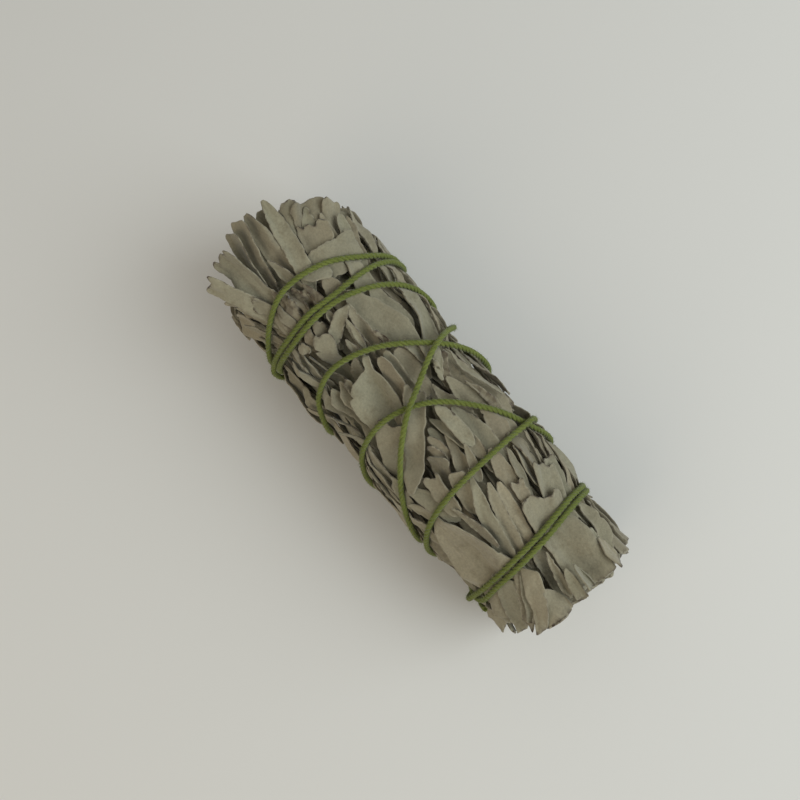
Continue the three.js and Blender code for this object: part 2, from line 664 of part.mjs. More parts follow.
// The string as one solid per turn, each a little into the next.
function stringTurns(line, radius, sides) {
  const corners = [];
  for (let k = 0; k < sides; k += 1) {
    const corner = (k * TURN) / sides;
    corners.push(new THREE.Vector2(radius * Math.cos(corner), radius * Math.sin(corner)));
  }
  const section = new THREE.Shape(corners);
  const turns = [];
  for (let from = 0; from < line.length - 1; from += TURN_SAMPLES) {
    const extrudePath = new StringCurve(line, from, Math.min(from + TURN_SAMPLES + 1, line.length - 1));
    const steps = Math.max(2, Math.round(extrudePath.getLength() / STRING_STEP));
    turns.push(solidOf(new THREE.ExtrudeGeometry(section, { steps, bevelEnabled: false, extrudePath })));
  }
  return turns;
}

const joined = (solids) => wasm.Manifold.union(solids);

// The largest body of a solid, without scraps and with sealed hollows filled.
function mainBody(solid) {
  const bodies = solid.decompose();
  return bodies.reduce((most, body) => (body.volume() > most.volume() ? body : most));
}

// A cut stem: square with rounded corners, as sage stems are.
function stemMesh([distance, degrees, width, roll, standsOut], grow) {
  const half = width / 2 + grow;
  const corner = STEM_CORNER * width;
  const section = new THREE.Shape();
  section.absarc(half - corner, half - corner, corner, 0, TURN / 4);
  section.absarc(corner - half, half - corner, corner, TURN / 4, TURN / 2);
  section.absarc(corner - half, corner - half, corner, TURN / 2, (3 * TURN) / 4);
  section.absarc(half - corner, corner - half, corner, (3 * TURN) / 4, TURN);
  const depth = STEM_LENGTH + 2 * grow;
  const geometry = new THREE.ExtrudeGeometry(section, { depth, bevelEnabled: false, curveSegments: 2 });
  geometry.rotateY(TURN / 4);
  const mesh = new THREE.Mesh(geometry, stemMaterial);
  mesh.position.set(...placeRound(CUT_END - standsOut - grow, degrees * DEGREE, distance));
  mesh.rotation.x = roll * DEGREE;
  return mesh;
}

function solidInPlace(mesh) {
  mesh.updateMatrix();
  return solidOf(mesh.geometry.clone().applyMatrix4(mesh.matrix));
}

function meshOf(name, solid, material) {
  const { numProp, vertProperties, triVerts } = solid.getMesh();
  const positions = new Float32Array((vertProperties.length / numProp) * 3);
  for (let k = 0; k < positions.length / 3; k += 1)
    positions.set(vertProperties.subarray(k * numProp, k * numProp + 3), k * 3);
  const geometry = new THREE.BufferGeometry();
  geometry.setAttribute("position", new THREE.BufferAttribute(positions, 3));
  geometry.setIndex(new THREE.BufferAttribute(triVerts, 1));
  geometry.computeVertexNormals();
  const mesh = new THREE.Mesh(geometry, material);
  mesh.name = name;
  return mesh;
}

// ---------------------------------------------------------------- the bunch
const leafMaterial = new THREE.MeshStandardMaterial({ color: 0xa5a392, roughness: 0.95, metalness: 0 });
const stringMaterial = new THREE.MeshStandardMaterial({ color: 0x6f8c40, roughness: 0.9, metalness: 0 });
const stemMaterial = new THREE.MeshStandardMaterial({ color: 0x8a7a60, roughness: 0.9, metalness: 0 });

function leafBundle(line) {
  const draw = drawsFrom(LEAF_SEED);
  const heart = heartLeaves(draw);
  const coat = coatLeaves(draw);
  const upper = UPPER_LEAVES.map((listed) => upperLeaf(draw, listed));
  const under = upperLeaf(draw, UNDER_LEAF);
  const leaves = [...heart, ...coat, ...upper, under];
  const top = layLeaves(leaves);
  const press = pressOf(top);
  const roof = ceilingUnder(line);
  pressLeaves(leaves, press, roof.slice());

  const shownHeart = heart.filter((leaf, k) => Math.floor(k / 2) % HEART_BLADES === 0);
  const outer = [...coat, ...upper].sort((one, two) => two.shown - one.shown);
  const shownOuter = outer.slice(0, OUTER_BLADES);
  const blades = [
    ...shownHeart.map((leaf) => blade(leaf, press, 2, 2)),
    ...shownOuter.map((leaf) => blade(leaf, press, leaf.width > 8 ? 3 : 2, leaf.length > 16 ? 4 : 3)),
    blade(under, press, 3, 5),
  ];

  const grooveRadius = (STRING_DIAMETER / 2 + CLEARANCE) / Math.cos(Math.PI / GROOVE_SIDES);
  const grooves = joined(stringTurns(line, grooveRadius, GROOVE_SIDES));
  const holes = joined(STEMS.map((stem) => solidInPlace(stemMesh(stem, CLEARANCE))));
  const aboveGround = new THREE.BoxGeometry(4 * TIP_END, 4 * AXIS_HEIGHT, 4 * AXIS_HEIGHT);
  aboveGround.translate(0, 0, 2 * AXIS_HEIGHT);
  const bundle = joined([core(top, press, roof), ...blades]).subtract(grooves).subtract(holes);
  return mainBody(bundle.intersect(solidOf(aboveGround)));
}

const line = stringLine();
const binding = joined(stringTurns(line, STRING_DIAMETER / 2, STRING_SIDES));
const stems = new THREE.Group();
STEMS.forEach((stem, k) => {
  const mesh = stemMesh(stem, 0);
  mesh.name = `stem_${k + 1}`;
  stems.add(mesh);
});

const bunch = new THREE.Group();
bunch.add(meshOf("leaf_bundle", leafBundle(line), leafMaterial));
bunch.add(meshOf("binding_string", binding, stringMaterial));
bunch.add(stems);

export default bunch;
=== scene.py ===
"""A bunch of dried white sage, bound with one green cotton string.

The leaves follow the same rule as the solids: they are laid one on another in a height field round the
bunch's axis, from the inside out, and then pressed down by what lies over them. Lengths in the rule are
millimetres; meshes are in metres. The bunch lies along X, its leaf tips at +X and its cut end at -X.
"""

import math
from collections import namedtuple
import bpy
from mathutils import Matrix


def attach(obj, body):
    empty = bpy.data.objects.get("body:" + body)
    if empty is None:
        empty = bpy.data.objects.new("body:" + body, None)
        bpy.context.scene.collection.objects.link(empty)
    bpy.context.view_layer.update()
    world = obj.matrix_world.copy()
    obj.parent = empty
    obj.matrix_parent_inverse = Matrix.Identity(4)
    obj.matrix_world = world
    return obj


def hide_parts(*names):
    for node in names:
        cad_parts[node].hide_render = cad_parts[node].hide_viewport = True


bl_info = {
    "name": "Sage Bunch",
    "version": (1, 0, 0),
    "blender": (4, 5, 0),
    "location": "View3D > Sidebar > Sage Bunch",
    "description": "Makes the leaves, string, stems and stage of a bound bunch of dried sage",
    "category": "Add Mesh",
}

from types import SimpleNamespace

import bpy
import numpy as np
from bpy.props import FloatProperty, FloatVectorProperty, IntProperty, PointerProperty
from mathutils import Matrix, Vector

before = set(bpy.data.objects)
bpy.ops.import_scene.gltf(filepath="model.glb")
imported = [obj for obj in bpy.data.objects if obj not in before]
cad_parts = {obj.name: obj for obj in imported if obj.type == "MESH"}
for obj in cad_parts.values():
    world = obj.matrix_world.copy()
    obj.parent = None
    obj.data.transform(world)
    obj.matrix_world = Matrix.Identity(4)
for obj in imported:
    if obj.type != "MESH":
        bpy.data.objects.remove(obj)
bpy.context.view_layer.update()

MM = 0.001
DEGREE = math.pi / 180
TURN = 2 * math.pi

# ---------------------------------------------------------------- driving dimensions of the rule, in mm
CUT_END = -50.5  # where the leaves are cut off
TIP_END = 52  # where the longest leaf tips reach
AXIS_HEIGHT = 15.7  # over the surface that the bunch rests on
BODY_STATIONS = np.array([
    # x, radius of the pressed leaves
    [-60, 16.2], [-50, 16.1], [-36, 15.1], [-24, 16.4], [-8, 16.7],
    [6, 16.4], [22, 16.2], [34, 16.9], [46, 16.7], [60, 16.4],
])
LEAF_THICKNESS = 0.5  # how much room a leaf takes among the others
LEAF_SEED = 20
GOLDEN_TURN = 2.39996  # radians
HEART_LEAVES = 40  # inner leaves that show at each end
HEART_START = SimpleNamespace(cut=5.4, middle=10.5, tip=1.6)  # radius that the first leaves are laid on
STRING_DIAMETER = 1.3
STRING_LIFT = 0.45  # string centre over the body's radius
GROUND_GAP = 0.15  # string over the surface that the bunch rests on
REST_TRIM = 0.4  # how far the laid leaves go past that surface, before they are pressed flat on it
STEM_LENGTH = 34
STEMS = [
    # distance from the axis, degrees round it, width, roll in degrees, how far it stands out
    (0.2, 0, 2.5, 10, 0.4),
    (3.7, 24, 2.1, 40, -0.5),
    (3.7, 110, 2.3, 15, 0.1),
    (3.7, 195, 1.9, 60, 0.6),
    (3.7, 285, 2.2, 32, -0.2),
]

# The string's route as (degrees round the axis, x). 0 is the top and 90 the +Y side, and it goes on round.
STRING_ROUTE = [
    # a short tail, and the first turn of the tie at the cut end
    (86, -40.6), (112, -38.6), (180, -36.8), (270, -35.9), (318, -35.4), (360, -36.6), (405, -37.8),
    (440, -38.4), (490, -33.5), (540, -29.0),
    # three open turns up the bunch
    (630, -23.6), (660, -19.6), (684, -11.7), (714, -3.3), (743, 0.1), (776, -0.8), (805, -4.8), (835, -8.4),
    (900, -8.4), (990, -3.6), (1018, 1.0), (1050, 6.8), (1081, 12.2), (1112, 14.6), (1141, 12.7), (1166, 8.3),
    (1200, 6.8), (1260, 8.0), (1350, 13.6), (1377, 17.8), (1406, 21.4), (1436, 23.8), (1459, 24.2),
    (1485, 23.7), (1500, 23.7), (1530, 24.0),
    # the turn nearest the leaf tips, and the turn back over it
    (1620, 24.4), (1708, 25.2), (1758, 27.8), (1792, 31.4), (1823, 32.3), (1849, 29.8), (1866, 27.8),
    (1884, 26.6), (1920, 26.0), (1980, 25.2), (2068, 24.4), (2120, 25.6), (2160, 25.2), (2179, 25.6),
    (2205, 25.1), (2223, 25.1),
    # back down, crossing the open turns
    (2250, 24.9), (2340, 15.8), (2428, 7.8), (2484, 5.6), (2517, 0.8), (2544, -4.3), (2574, -12.1),
    (2607, -20.4), (2640, -22.6), (2700, -21.4), (2788, -18.3), (2846, -17.7), (2898, -18.4), (2930, -20.2),
    # the second turn of the tie, beside the first, and its end beside the tail
    (2960, -23.4), (2990, -26.6), (3060, -31.0), (3150, -34.5), (3198, -34.0), (3240, -35.2), (3285, -36.4),
    (3320, -37.0), (3346, -37.0), (3372, -36.0),
]

# How a leaf is bent: curls of its margins, fold at the midrib and tilt, in degrees, and the lift of its tip
# and height of its crushed folds, in mm.
Bend = namedtuple("Bend", "right_curl left_curl fold tilt lift crumpling")
BENDS = {
    "under": Bend(0, 0, 0, 0, 0, 0),
    "flat": Bend(15, 20, 0, 0, 0, 0),
    "turned": Bend(25, 70, 5, 0, 0, 0),
    "curled": Bend(60, 30, 6, 0, 0, 0),
    "cupped": Bend(60, 60, 4, 0, 0, 0),
    "rolled": Bend(100, 90, 8, 0, 0, 0),
    "folded": Bend(50, 30, 14, 0, 0.2, 0),
    "leaning": Bend(40, 30, 8, -26, 1.5, 0),
    "raised": Bend(40, 25, 9, 0, 3, 0),
    "splayed": Bend(30, 20, 6, 0, 5.5, 0),
    "standing": Bend(20, 20, 4, 0, 2.6, 0),
    "crumpled": Bend(30, 40, 0, 4, 0, 1.2),
}

# The view from above, which the camera takes. Lengths in mm.
VIEW_TARGET = np.array([3.0, 1.5, 16.0])
VIEW_DISTANCE = 200
VIEW_LEAN = 8 * DEGREE  # from straight down
VIEW_SLANT = 50 * DEGREE  # how steeply the bunch's axis runs across the view
VIEW_PIXELS = 800
VIEW_MM_PER_PIXEL = 0.208  # at the target

# A leaf of the upper side: where its root, middle and tip stand on the view, as pixels from the left and
# top edges, and the width that shows, in mm. A tint goes from brown, below 0, to pale; on leaves that lie
# in shadow a low tint is painted shade.
Seen = namedtuple("Seen", "root mid tip width bend end tint", defaults=("flat", "round", 0))

# The leaves of the upper side, from the lowest to the top one.
UPPER_LEAVES = [
    # fan of tips: background ones first, the lowest three darkened to paint the shade between the tips
    Seen(root=(292, 300), mid=(268, 262), tip=(244, 222), width=9, tint=-0.9),
    Seen(root=(290, 312), mid=(258, 284), tip=(228, 250), width=8, tint=-0.9),
    Seen(root=(284, 330), mid=(252, 306), tip=(222, 280), width=7, tint=-0.9),
    Seen(root=(308, 262), mid=(294, 226), tip=(286, 201), width=6, bend="standing", end="torn"),
    # a broad standing leaf behind the tips, darkened a little as painted shade
    Seen(root=(334, 258), mid=(320, 224), tip=(308, 198), width=9.6, bend="standing", end="blunt", tint=-0.2),
    Seen(root=(348, 250), mid=(339, 222), tip=(333, 199), width=5.6, bend="standing", end="blunt", tint=-0.4),
    Seen(root=(366, 254), mid=(352, 230), tip=(344, 209), width=4.4, bend="raised", end="point", tint=-0.5),
    Seen(root=(368, 258), mid=(357, 234), tip=(350, 212), width=3.2, bend="raised", end="point", tint=-0.7),
    Seen(root=(284, 262), mid=(274, 230), tip=(264, 205), width=5.4, end="blunt", tint=-0.3),
    Seen(root=(258, 288), mid=(242, 266), tip=(228, 248), width=5, end="point", tint=-0.6),
    Seen(root=(274, 296), mid=(262, 262), tip=(247, 223), width=6.4, bend="leaning", end="point", tint=-0.2),
    Seen(root=(300, 290), mid=(268, 246), tip=(245, 213), width=6.4, bend="leaning", tint=0.1),
    Seen(root=(264, 286), mid=(249, 250), tip=(240, 217), width=5, bend="leaning", end="blunt"),
    Seen(root=(258, 288), mid=(242, 258), tip=(234, 230), width=4.8, bend="leaning", end="blunt", tint=0.1),
    # left splay
    Seen(root=(286, 358), mid=(262, 343), tip=(238, 327), width=6, end="blunt", tint=-0.3),
    Seen(root=(286, 340), mid=(262, 323), tip=(235, 309), width=6, end="blunt", tint=-0.5),
    Seen(root=(276, 356), mid=(264, 350), tip=(255, 341), width=3, bend="curled", end="point"),
    Seen(root=(280, 350), mid=(266, 341), tip=(250, 329), width=4, bend="curled", tint=0.1),
    Seen(root=(282, 338), mid=(262, 327), tip=(237, 318), width=4.6, bend="raised", end="point"),
    Seen(root=(284, 334), mid=(252, 318), tip=(221, 302), width=5.4, bend="splayed", end="blunt"),
    Seen(root=(284, 334), mid=(256, 320), tip=(234, 312), width=1.7, bend="folded", end="point", tint=0.2),
    Seen(root=(282, 344), mid=(262, 335), tip=(245, 327), width=1.7, bend="folded", end="point", tint=-0.2),
    Seen(root=(280, 318), mid=(248, 284), tip=(220, 257), width=7.6, bend="raised", end="torn", tint=0.1),
    Seen(root=(284, 324), mid=(244, 303), tip=(207, 286), width=5.4, bend="splayed", end="torn"),
    # mouth of dark gap, and small pieces there
    Seen(root=(278, 318), mid=(266, 309), tip=(256, 305), width=4.6, bend="curled", end="torn", tint=-0.5),
    Seen(root=(300, 296), mid=(284, 276), tip=(265, 262), width=4, bend="leaning", end="point", tint=0.1),
    # pleats and the torn leaf
    Seen(root=(316, 244), mid=(311, 226), tip=(307, 207), width=3.8, end="point", tint=0.4),
    Seen(root=(336, 244), mid=(328, 230), tip=(320, 216), width=3.8, end="point", tint=0.4),
    Seen(root=(364, 262), mid=(349, 240), tip=(338, 218), width=4.6, bend="turned", tint=0.4),
    Seen(root=(332, 268), mid=(320, 244), tip=(312, 223), width=8, end="torn", tint=-0.3),
    Seen(root=(296, 282), mid=(332, 260), tip=(368, 240), width=6, end="blunt", tint=0.3),
    Seen(root=(304, 286), mid=(287, 238), tip=(265, 198), width=5, tint=0.7),
    Seen(root=(398, 274), mid=(388, 254), tip=(378, 239), width=2.2, bend="curled", end="point", tint=-0.3),
    Seen(root=(384, 268), mid=(368, 234), tip=(354, 205), width=3.2, bend="turned", tint=0.9),
    # inside the loop
    Seen(root=(350, 304), mid=(335, 290), tip=(324, 276), width=5.6, tint=-0.5),
    Seen(root=(396, 304), mid=(370, 283), tip=(344, 261), width=5.8, tint=0.1),
    Seen(root=(418, 306), mid=(397, 281), tip=(377, 263), width=3.8, bend="turned", tint=0.5),
    Seen(root=(410, 290), mid=(396, 276), tip=(384, 261), width=3, bend="curled", end="point", tint=0.5),
    Seen(root=(308, 352), mid=(290, 330), tip=(272, 316), width=5.4, tint=-0.5),
    Seen(root=(316, 340), mid=(308, 312), tip=(302, 284), width=6, bend="crumpled", end="torn", tint=-1.3),
    Seen(root=(326, 306), mid=(312, 294), tip=(302, 284), width=3.6, bend="crumpled", end="point", tint=-1.1),
    Seen(root=(300, 322), mid=(288, 300), tip=(276, 304), width=4, bend="crumpled", end="torn", tint=-0.7),
    Seen(root=(296, 326), mid=(288, 316), tip=(274, 318), width=2.8, bend="crumpled", tint=-0.3),
    Seen(root=(330, 268), mid=(310, 276), tip=(293, 284), width=4, bend="cupped", tint=0.6),
    Seen(root=(302, 342), mid=(290, 314), tip=(292, 286), width=7, bend="crumpled", end="torn", tint=-1.1),
    Seen(root=(290, 322), mid=(282, 312), tip=(275, 303), width=3.6, bend="crumpled", end="point", tint=-0.5),
    # between the tie and the first crossing
    Seen(root=(424, 346), mid=(398, 312), tip=(371, 284), width=6.2, tint=0.3),
    Seen(root=(446, 352), mid=(421, 312), tip=(399, 283), width=5.6, bend="turned", tint=0.4),
    Seen(root=(444, 330), mid=(430, 312), tip=(412, 290), width=2.4, bend="curled", end="point", tint=0.3),
    Seen(root=(430, 364), mid=(388, 322), tip=(342, 296), width=8.4, tint=0.2),
    Seen(root=(312, 356), mid=(311, 338), tip=(312, 320), width=3, tint=-0.8),
    Seen(root=(326, 344), mid=(321, 330), tip=(318, 317), width=3, end="torn", tint=-0.6),
    Seen(root=(340, 326), mid=(332, 318), tip=(330, 309), width=2.2, bend="cupped", tint=-0.5),
    Seen(root=(384, 356), mid=(364, 328), tip=(348, 303), width=3.4, bend="turned", tint=0.2),
    Seen(root=(372, 356), mid=(358, 338), tip=(347, 320), width=2.8, bend="curled"),
    Seen(root=(323, 354), mid=(336, 326), tip=(361, 297), width=2.2, tint=0.4),
    Seen(root=(328, 408), mid=(328, 370), tip=(329, 331), width=3.8, end="torn", tint=0.4),
    Seen(root=(363, 349), mid=(356, 334), tip=(347, 319), width=1.7, bend="folded", end="point", tint=0.3),
    Seen(root=(394, 344), mid=(384, 337), tip=(374, 330), width=1.1, bend="crumpled", end="torn", tint=-1.3),
    Seen(root=(364, 364), mid=(354, 350), tip=(347, 339), width=2.6, bend="folded", end="point", tint=0.1),
    Seen(root=(347, 396), mid=(351, 376), tip=(358, 355), width=3.8, end="point", tint=0.4),
    Seen(root=(330, 390), mid=(318, 372), tip=(309, 356), width=3.4, bend="curled"),
    Seen(root=(320, 384), mid=(312, 368), tip=(304, 352), width=3.2, bend="curled", tint=0.2),
    Seen(root=(312, 344), mid=(306, 348), tip=(299, 350), width=1.8, bend="crumpled", end="torn", tint=0.3),
    Seen(root=(304, 366), mid=(296, 354), tip=(288, 344), width=3.2, tint=-0.3),
    # left edge
    Seen(root=(304, 402), mid=(292, 386), tip=(280, 366), width=2.8, bend="turned", end="point"),
    Seen(root=(324, 406), mid=(302, 380), tip=(281, 355), width=4.4, bend="curled", tint=0.2),
    Seen(root=(326, 398), mid=(310, 376), tip=(294, 362), width=3, bend="curled", end="point"),
    Seen(root=(326, 390), mid=(313, 379), tip=(306, 366), width=2.4, bend="turned", tint=0.2),
    Seen(root=(326, 426), mid=(312, 408), tip=(299, 389), width=3, bend="curled", end="point"),
    Seen(root=(350, 448), mid=(336, 426), tip=(322, 406), width=3.4, bend="curled", end="point"),
    Seen(root=(354, 440), mid=(338, 412), tip=(323, 388), width=4.4, bend="curled"),
    Seen(root=(372, 448), mid=(352, 420), tip=(333, 388), width=4.2, bend="curled", end="point", tint=-0.2),
    Seen(root=(366, 456), mid=(347, 434), tip=(330, 414), width=3, bend="curled", end="point", tint=0.2),
    Seen(root=(376, 462), mid=(356, 444), tip=(342, 430), width=2.6, bend="turned", end="point"),
    # the big leaf and its neighbours
    Seen(root=(376, 440), mid=(366, 420), tip=(355, 400), width=2.8, bend="turned", end="torn", tint=-0.3),
    Seen(root=(374, 434), mid=(354, 406), tip=(339, 381), width=3, bend="rolled", tint=0.4),
    Seen(root=(422, 386), mid=(410, 364), tip=(396, 348), width=6.2, tint=0.1),
    Seen(root=(430, 356), mid=(416, 347), tip=(400, 345), width=2.2, bend="curled", tint=0.3),
    Seen(root=(436, 356), mid=(427, 347), tip=(418, 343), width=2.4, bend="cupped", tint=0.3),
    Seen(root=(418, 396), mid=(402, 376), tip=(385, 350), width=3.8, bend="curled", tint=0.2),
    Seen(root=(408, 400), mid=(394, 380), tip=(380, 356), width=4.2, bend="curled", tint=0.1),
    Seen(root=(358, 398), mid=(351, 390), tip=(346, 381), width=1.8, bend="cupped", end="torn", tint=-0.8),
    Seen(root=(382, 438), mid=(375, 396), tip=(370, 352), width=10.8, end="stalk", tint=0.1),
    Seen(root=(404, 432), mid=(399, 424), tip=(397, 412), width=2.2, bend="cupped", end="point"),
    Seen(root=(412, 508), mid=(394, 462), tip=(390, 423), width=6.2, end="torn"),
    # left edge lower
    Seen(root=(400, 514), mid=(381, 490), tip=(364, 470), width=2.6, bend="curled", end="point"),
    Seen(root=(394, 492), mid=(380, 468), tip=(370, 444), width=3, bend="turned", end="point"),
    Seen(root=(404, 506), mid=(383, 480), tip=(367, 450), width=2.8, bend="curled", end="point", tint=0.2),
    Seen(root=(414, 524), mid=(387, 492), tip=(363, 457), width=3, bend="curled", end="point"),
    Seen(root=(406, 504), mid=(399, 488), tip=(394, 473), width=2.8, bend="turned", end="point", tint=0.2),
    Seen(root=(432, 504), mid=(416, 490), tip=(403, 478), width=3.4, tint=-0.2),
    Seen(root=(442, 526), mid=(426, 516), tip=(407, 506), width=3.4, bend="curled", end="point"),
    Seen(root=(438, 540), mid=(424, 528), tip=(408, 514), width=3.2, bend="curled", end="point"),
    Seen(root=(452, 516), mid=(428, 503), tip=(404, 491), width=4, tint=0.6),
    # right side of the middle
    Seen(root=(508, 404), mid=(490, 378), tip=(468, 352), width=4, tint=-0.4),
    Seen(root=(470, 360), mid=(460, 348), tip=(448, 332), width=2.8, bend="curled", end="point"),
    Seen(root=(510, 402), mid=(486, 374), tip=(460, 348), width=3.8, bend="curled", end="point", tint=0.3),
    Seen(root=(512, 406), mid=(502, 388), tip=(489, 371), width=2.2, bend="folded", tint=-1.3),
    Seen(root=(508, 406), mid=(480, 380), tip=(446, 345), width=4, bend="turned", tint=0.3),
    Seen(root=(506, 416), mid=(472, 384), tip=(444, 350), width=4.2, bend="curled", end="point"),
    Seen(root=(458, 384), mid=(448, 368), tip=(442, 351), width=2.2, bend="cupped", end="torn", tint=-1.2),
    Seen(root=(526, 440), mid=(484, 404), tip=(446, 376), width=5, tint=-0.3),
    Seen(root=(502, 412), mid=(485, 396), tip=(465, 381), width=1.6, bend="folded", end="point", tint=-1.2),
    Seen(root=(500, 396), mid=(474, 376), tip=(444, 348), width=1.4, bend="folded", end="point", tint=-0.2),
    Seen(root=(474, 416), mid=(450, 396), tip=(434, 381), width=3.4, bend="curled", end="point"),
    Seen(root=(442, 380), mid=(438, 362), tip=(441, 344), width=1.6, bend="curled", tint=0.5),
    Seen(root=(440, 368), mid=(434, 361), tip=(428, 362), width=1.6, bend="crumpled", end="torn", tint=0.3),
    Seen(root=(454, 464), mid=(441, 448), tip=(428, 436), width=4.6, bend="cupped", tint=-0.6),
    Seen(root=(450, 453), mid=(439, 440), tip=(427, 428), width=2.3),
    Seen(root=(449, 459), mid=(438, 447), tip=(425, 438), width=2.1, bend="curled", tint=-0.3),
    Seen(root=(447, 465), mid=(436, 455), tip=(424, 450), width=2, bend="curled", tint=-0.7),
    Seen(root=(464, 486), mid=(460, 458), tip=(446, 433), width=3.8, bend="cupped", end="point", tint=-0.2),
    Seen(root=(466, 447), mid=(449, 429), tip=(427, 421), width=2.2, tint=0.6),
    Seen(root=(516, 452), mid=(500, 426), tip=(482, 403), width=5.2, tint=-0.2),
    Seen(root=(506, 470), mid=(480, 436), tip=(454, 404), width=6, tint=0.2),
    Seen(root=(482, 452), mid=(458, 424), tip=(442, 404), width=3.2, bend="curled", end="point"),
    Seen(root=(468, 438), mid=(450, 420), tip=(434, 406), width=3.6),
    # the rose
    Seen(root=(478, 484), mid=(473, 462), tip=(466, 442), width=2.4, bend="curled", end="point", tint=0.1),
    Seen(root=(446, 494), mid=(440, 474), tip=(437, 456), width=4.6, end="blunt", tint=-0.6),
    Seen(root=(472, 510), mid=(464, 490), tip=(457, 471), width=4.2, end="blunt", tint=-0.2),
    Seen(root=(452, 510), mid=(440, 492), tip=(429, 476), width=4.6, end="torn", tint=0.6),
    Seen(root=(405, 490), mid=(413, 440), tip=(424, 380), width=4.4, end="torn"),
    # the pair of light leaves and what lies by them
    Seen(root=(532, 552), mid=(521, 526), tip=(511, 502), width=4.2, tint=-0.5),
    Seen(root=(524, 526), mid=(513, 500), tip=(502, 479), width=4, tint=-0.2),
    Seen(root=(520, 494), mid=(505, 469), tip=(490, 448), width=4.6, tint=-0.3),
    Seen(root=(530, 486), mid=(517, 464), tip=(507, 446), width=2.6, bend="curled", end="point", tint=-0.5),
    Seen(root=(542, 478), mid=(527, 461), tip=(512, 446), width=3.8, bend="curled", end="point", tint=0.3),
    Seen(root=(538, 466), mid=(522, 447), tip=(507, 434), width=4.4, bend="curled"),
    Seen(root=(550, 468), mid=(536, 448), tip=(523, 431), width=2, bend="folded", end="point", tint=-0.5),
    Seen(root=(558, 470), mid=(543, 447), tip=(529, 429), width=2.2, bend="folded", end="point", tint=-0.3),
    Seen(root=(566, 474), mid=(550, 452), tip=(534, 430), width=2.4, bend="folded", end="point", tint=-0.6),
    Seen(root=(580, 500), mid=(563, 467), tip=(545, 441), width=3.4, bend="curled", end="point", tint=0.1),
    Seen(root=(530, 552), mid=(514, 512), tip=(503, 478), width=4.4, tint=-0.3),
    Seen(root=(524, 566), mid=(505, 520), tip=(495, 477), width=3.6, bend="turned", tint=0.5),
    Seen(root=(510, 588), mid=(491, 524), tip=(477, 461), width=6.4, end="drop", tint=0.6),
    # the cut end, under the tie
    Seen(root=(606, 590), mid=(584, 550), tip=(560, 510), width=7, end="cut", tint=0.2),
    Seen(root=(580, 612), mid=(560, 580), tip=(532, 540), width=7, end="cut", tint=-0.3),
    Seen(root=(536, 628), mid=(526, 596), tip=(500, 552), width=6, bend="folded", end="cut", tint=-0.1),
    Seen(root=(508, 630), mid=(494, 600), tip=(472, 570), width=5.2, bend="curled", end="cut", tint=-0.2),
    # the tie at the cut end
    # a thin leaf darkened as painted shade
    Seen(root=(500, 546), mid=(476, 527), tip=(450, 510), width=2.2, bend="turned", end="point", tint=-0.7),
    Seen(root=(484, 600), mid=(459, 581), tip=(436, 561), width=3, bend="curled", end="point"),
    Seen(root=(522, 612), mid=(481, 566), tip=(434, 518), width=17.5, end="point", tint=-0.3),
    Seen(root=(536, 510), mid=(524, 492), tip=(515, 480), width=3.6, end="torn", tint=-0.5),
    Seen(root=(584, 516), mid=(562, 482), tip=(546, 461), width=4.2, bend="turned", end="torn", tint=0.3),
    Seen(root=(576, 532), mid=(558, 500), tip=(543, 461), width=7, end="torn", tint=0.4),
    Seen(root=(618, 548), mid=(602, 522), tip=(587, 499), width=2.2, bend="folded", end="point", tint=-1),
    Seen(root=(614, 548), mid=(597, 524), tip=(578, 501), width=4.4, bend="turned", tint=0.4),
    Seen(root=(616, 584), mid=(604, 556), tip=(590, 528), width=5.4, end="cut", tint=0.5),
    Seen(root=(592, 574), mid=(564, 534), tip=(541, 495), width=12.4, end="torn", tint=0.5),
    # the cut end, over the tie's leaves
    Seen(root=(513, 635), mid=(512, 606), tip=(510, 574), width=6.4, end="wedge", tint=-0.1),
    Seen(root=(520, 632), mid=(525, 604), tip=(523, 566), width=2.6, bend="folded", end="cutheld", tint=-0.2),
    Seen(root=(527, 628), mid=(529, 602), tip=(531, 562), width=2.6, bend="folded", end="cutheld", tint=0.1),
    Seen(root=(548, 630), mid=(556, 612), tip=(563, 593), width=6.4, end="blunt", tint=0.5),
    Seen(root=(570, 602), mid=(559, 576), tip=(548, 550), width=2.2, bend="folded", end="point", tint=-0.2),
    Seen(root=(535, 636), mid=(541, 600), tip=(537, 562), width=5.2, end="wedge", tint=0.1),
    Seen(root=(582, 600), mid=(574, 584), tip=(566, 567), width=3, bend="rolled", end="cut", tint=0.1),
    Seen(root=(592, 588), mid=(583, 576), tip=(574, 564), width=3.2, bend="rolled", end="cut", tint=0.4),
    Seen(root=(620, 560), mid=(606, 552), tip=(594, 540), width=4.4, end="cut", tint=0.3),
    Seen(root=(498, 634), mid=(491, 616), tip=(485, 600), width=3.6, bend="curled", end="cut"),
]

# A leaf pressed flat under the middle, where the bunch rests, and leaves that fill the two sides.
# (root x, root degrees, tip x, tip degrees, width, sag, bend, end, tint and painted shade)
UNDER_LEAF = (-10.5, 182, 12.5, 182, 12, 0, "under", "round", 0)
SIDE_LEAVES = [
    (-10, 96, 14, 88, 5, 0, "flat", "point", 0.1),
    (4, 104, 27, 96, 6, 0, "flat", "round", -0.2),
    (-28, 98, -6, 92, 5, 0, "flat", "point", 0),
    (-11, -64, 4, -62, 3, 0, "flat", "round", -0.9),
]


# ---------------------------------------------------------------- small helpers
MASK = 0xFFFFFFFF
TINY = 1e-6


def clamp(v, low, high):
    return np.minimum(high, np.maximum(low, v))


def mix(a, b, t):
    return a + (b - a) * t


def ease(low, high, v):
    t = clamp((v - low) / (high - low), 0, 1)
    return t * t * (3 - 2 * t)


def draws_from(seed):
    """Seeded draws from 0 to 1, the same ones as the solids are made with."""
    state = seed

    def draw():
        nonlocal state
        state = (state + 0x6D2B79F5) & MASK
        t = ((state ^ (state >> 15)) * (state | 1)) & MASK
        t ^= (t + (t ^ (t >> 7)) * (t | 61)) & MASK
        return (t ^ (t >> 14)) / (MASK + 1)

    return draw


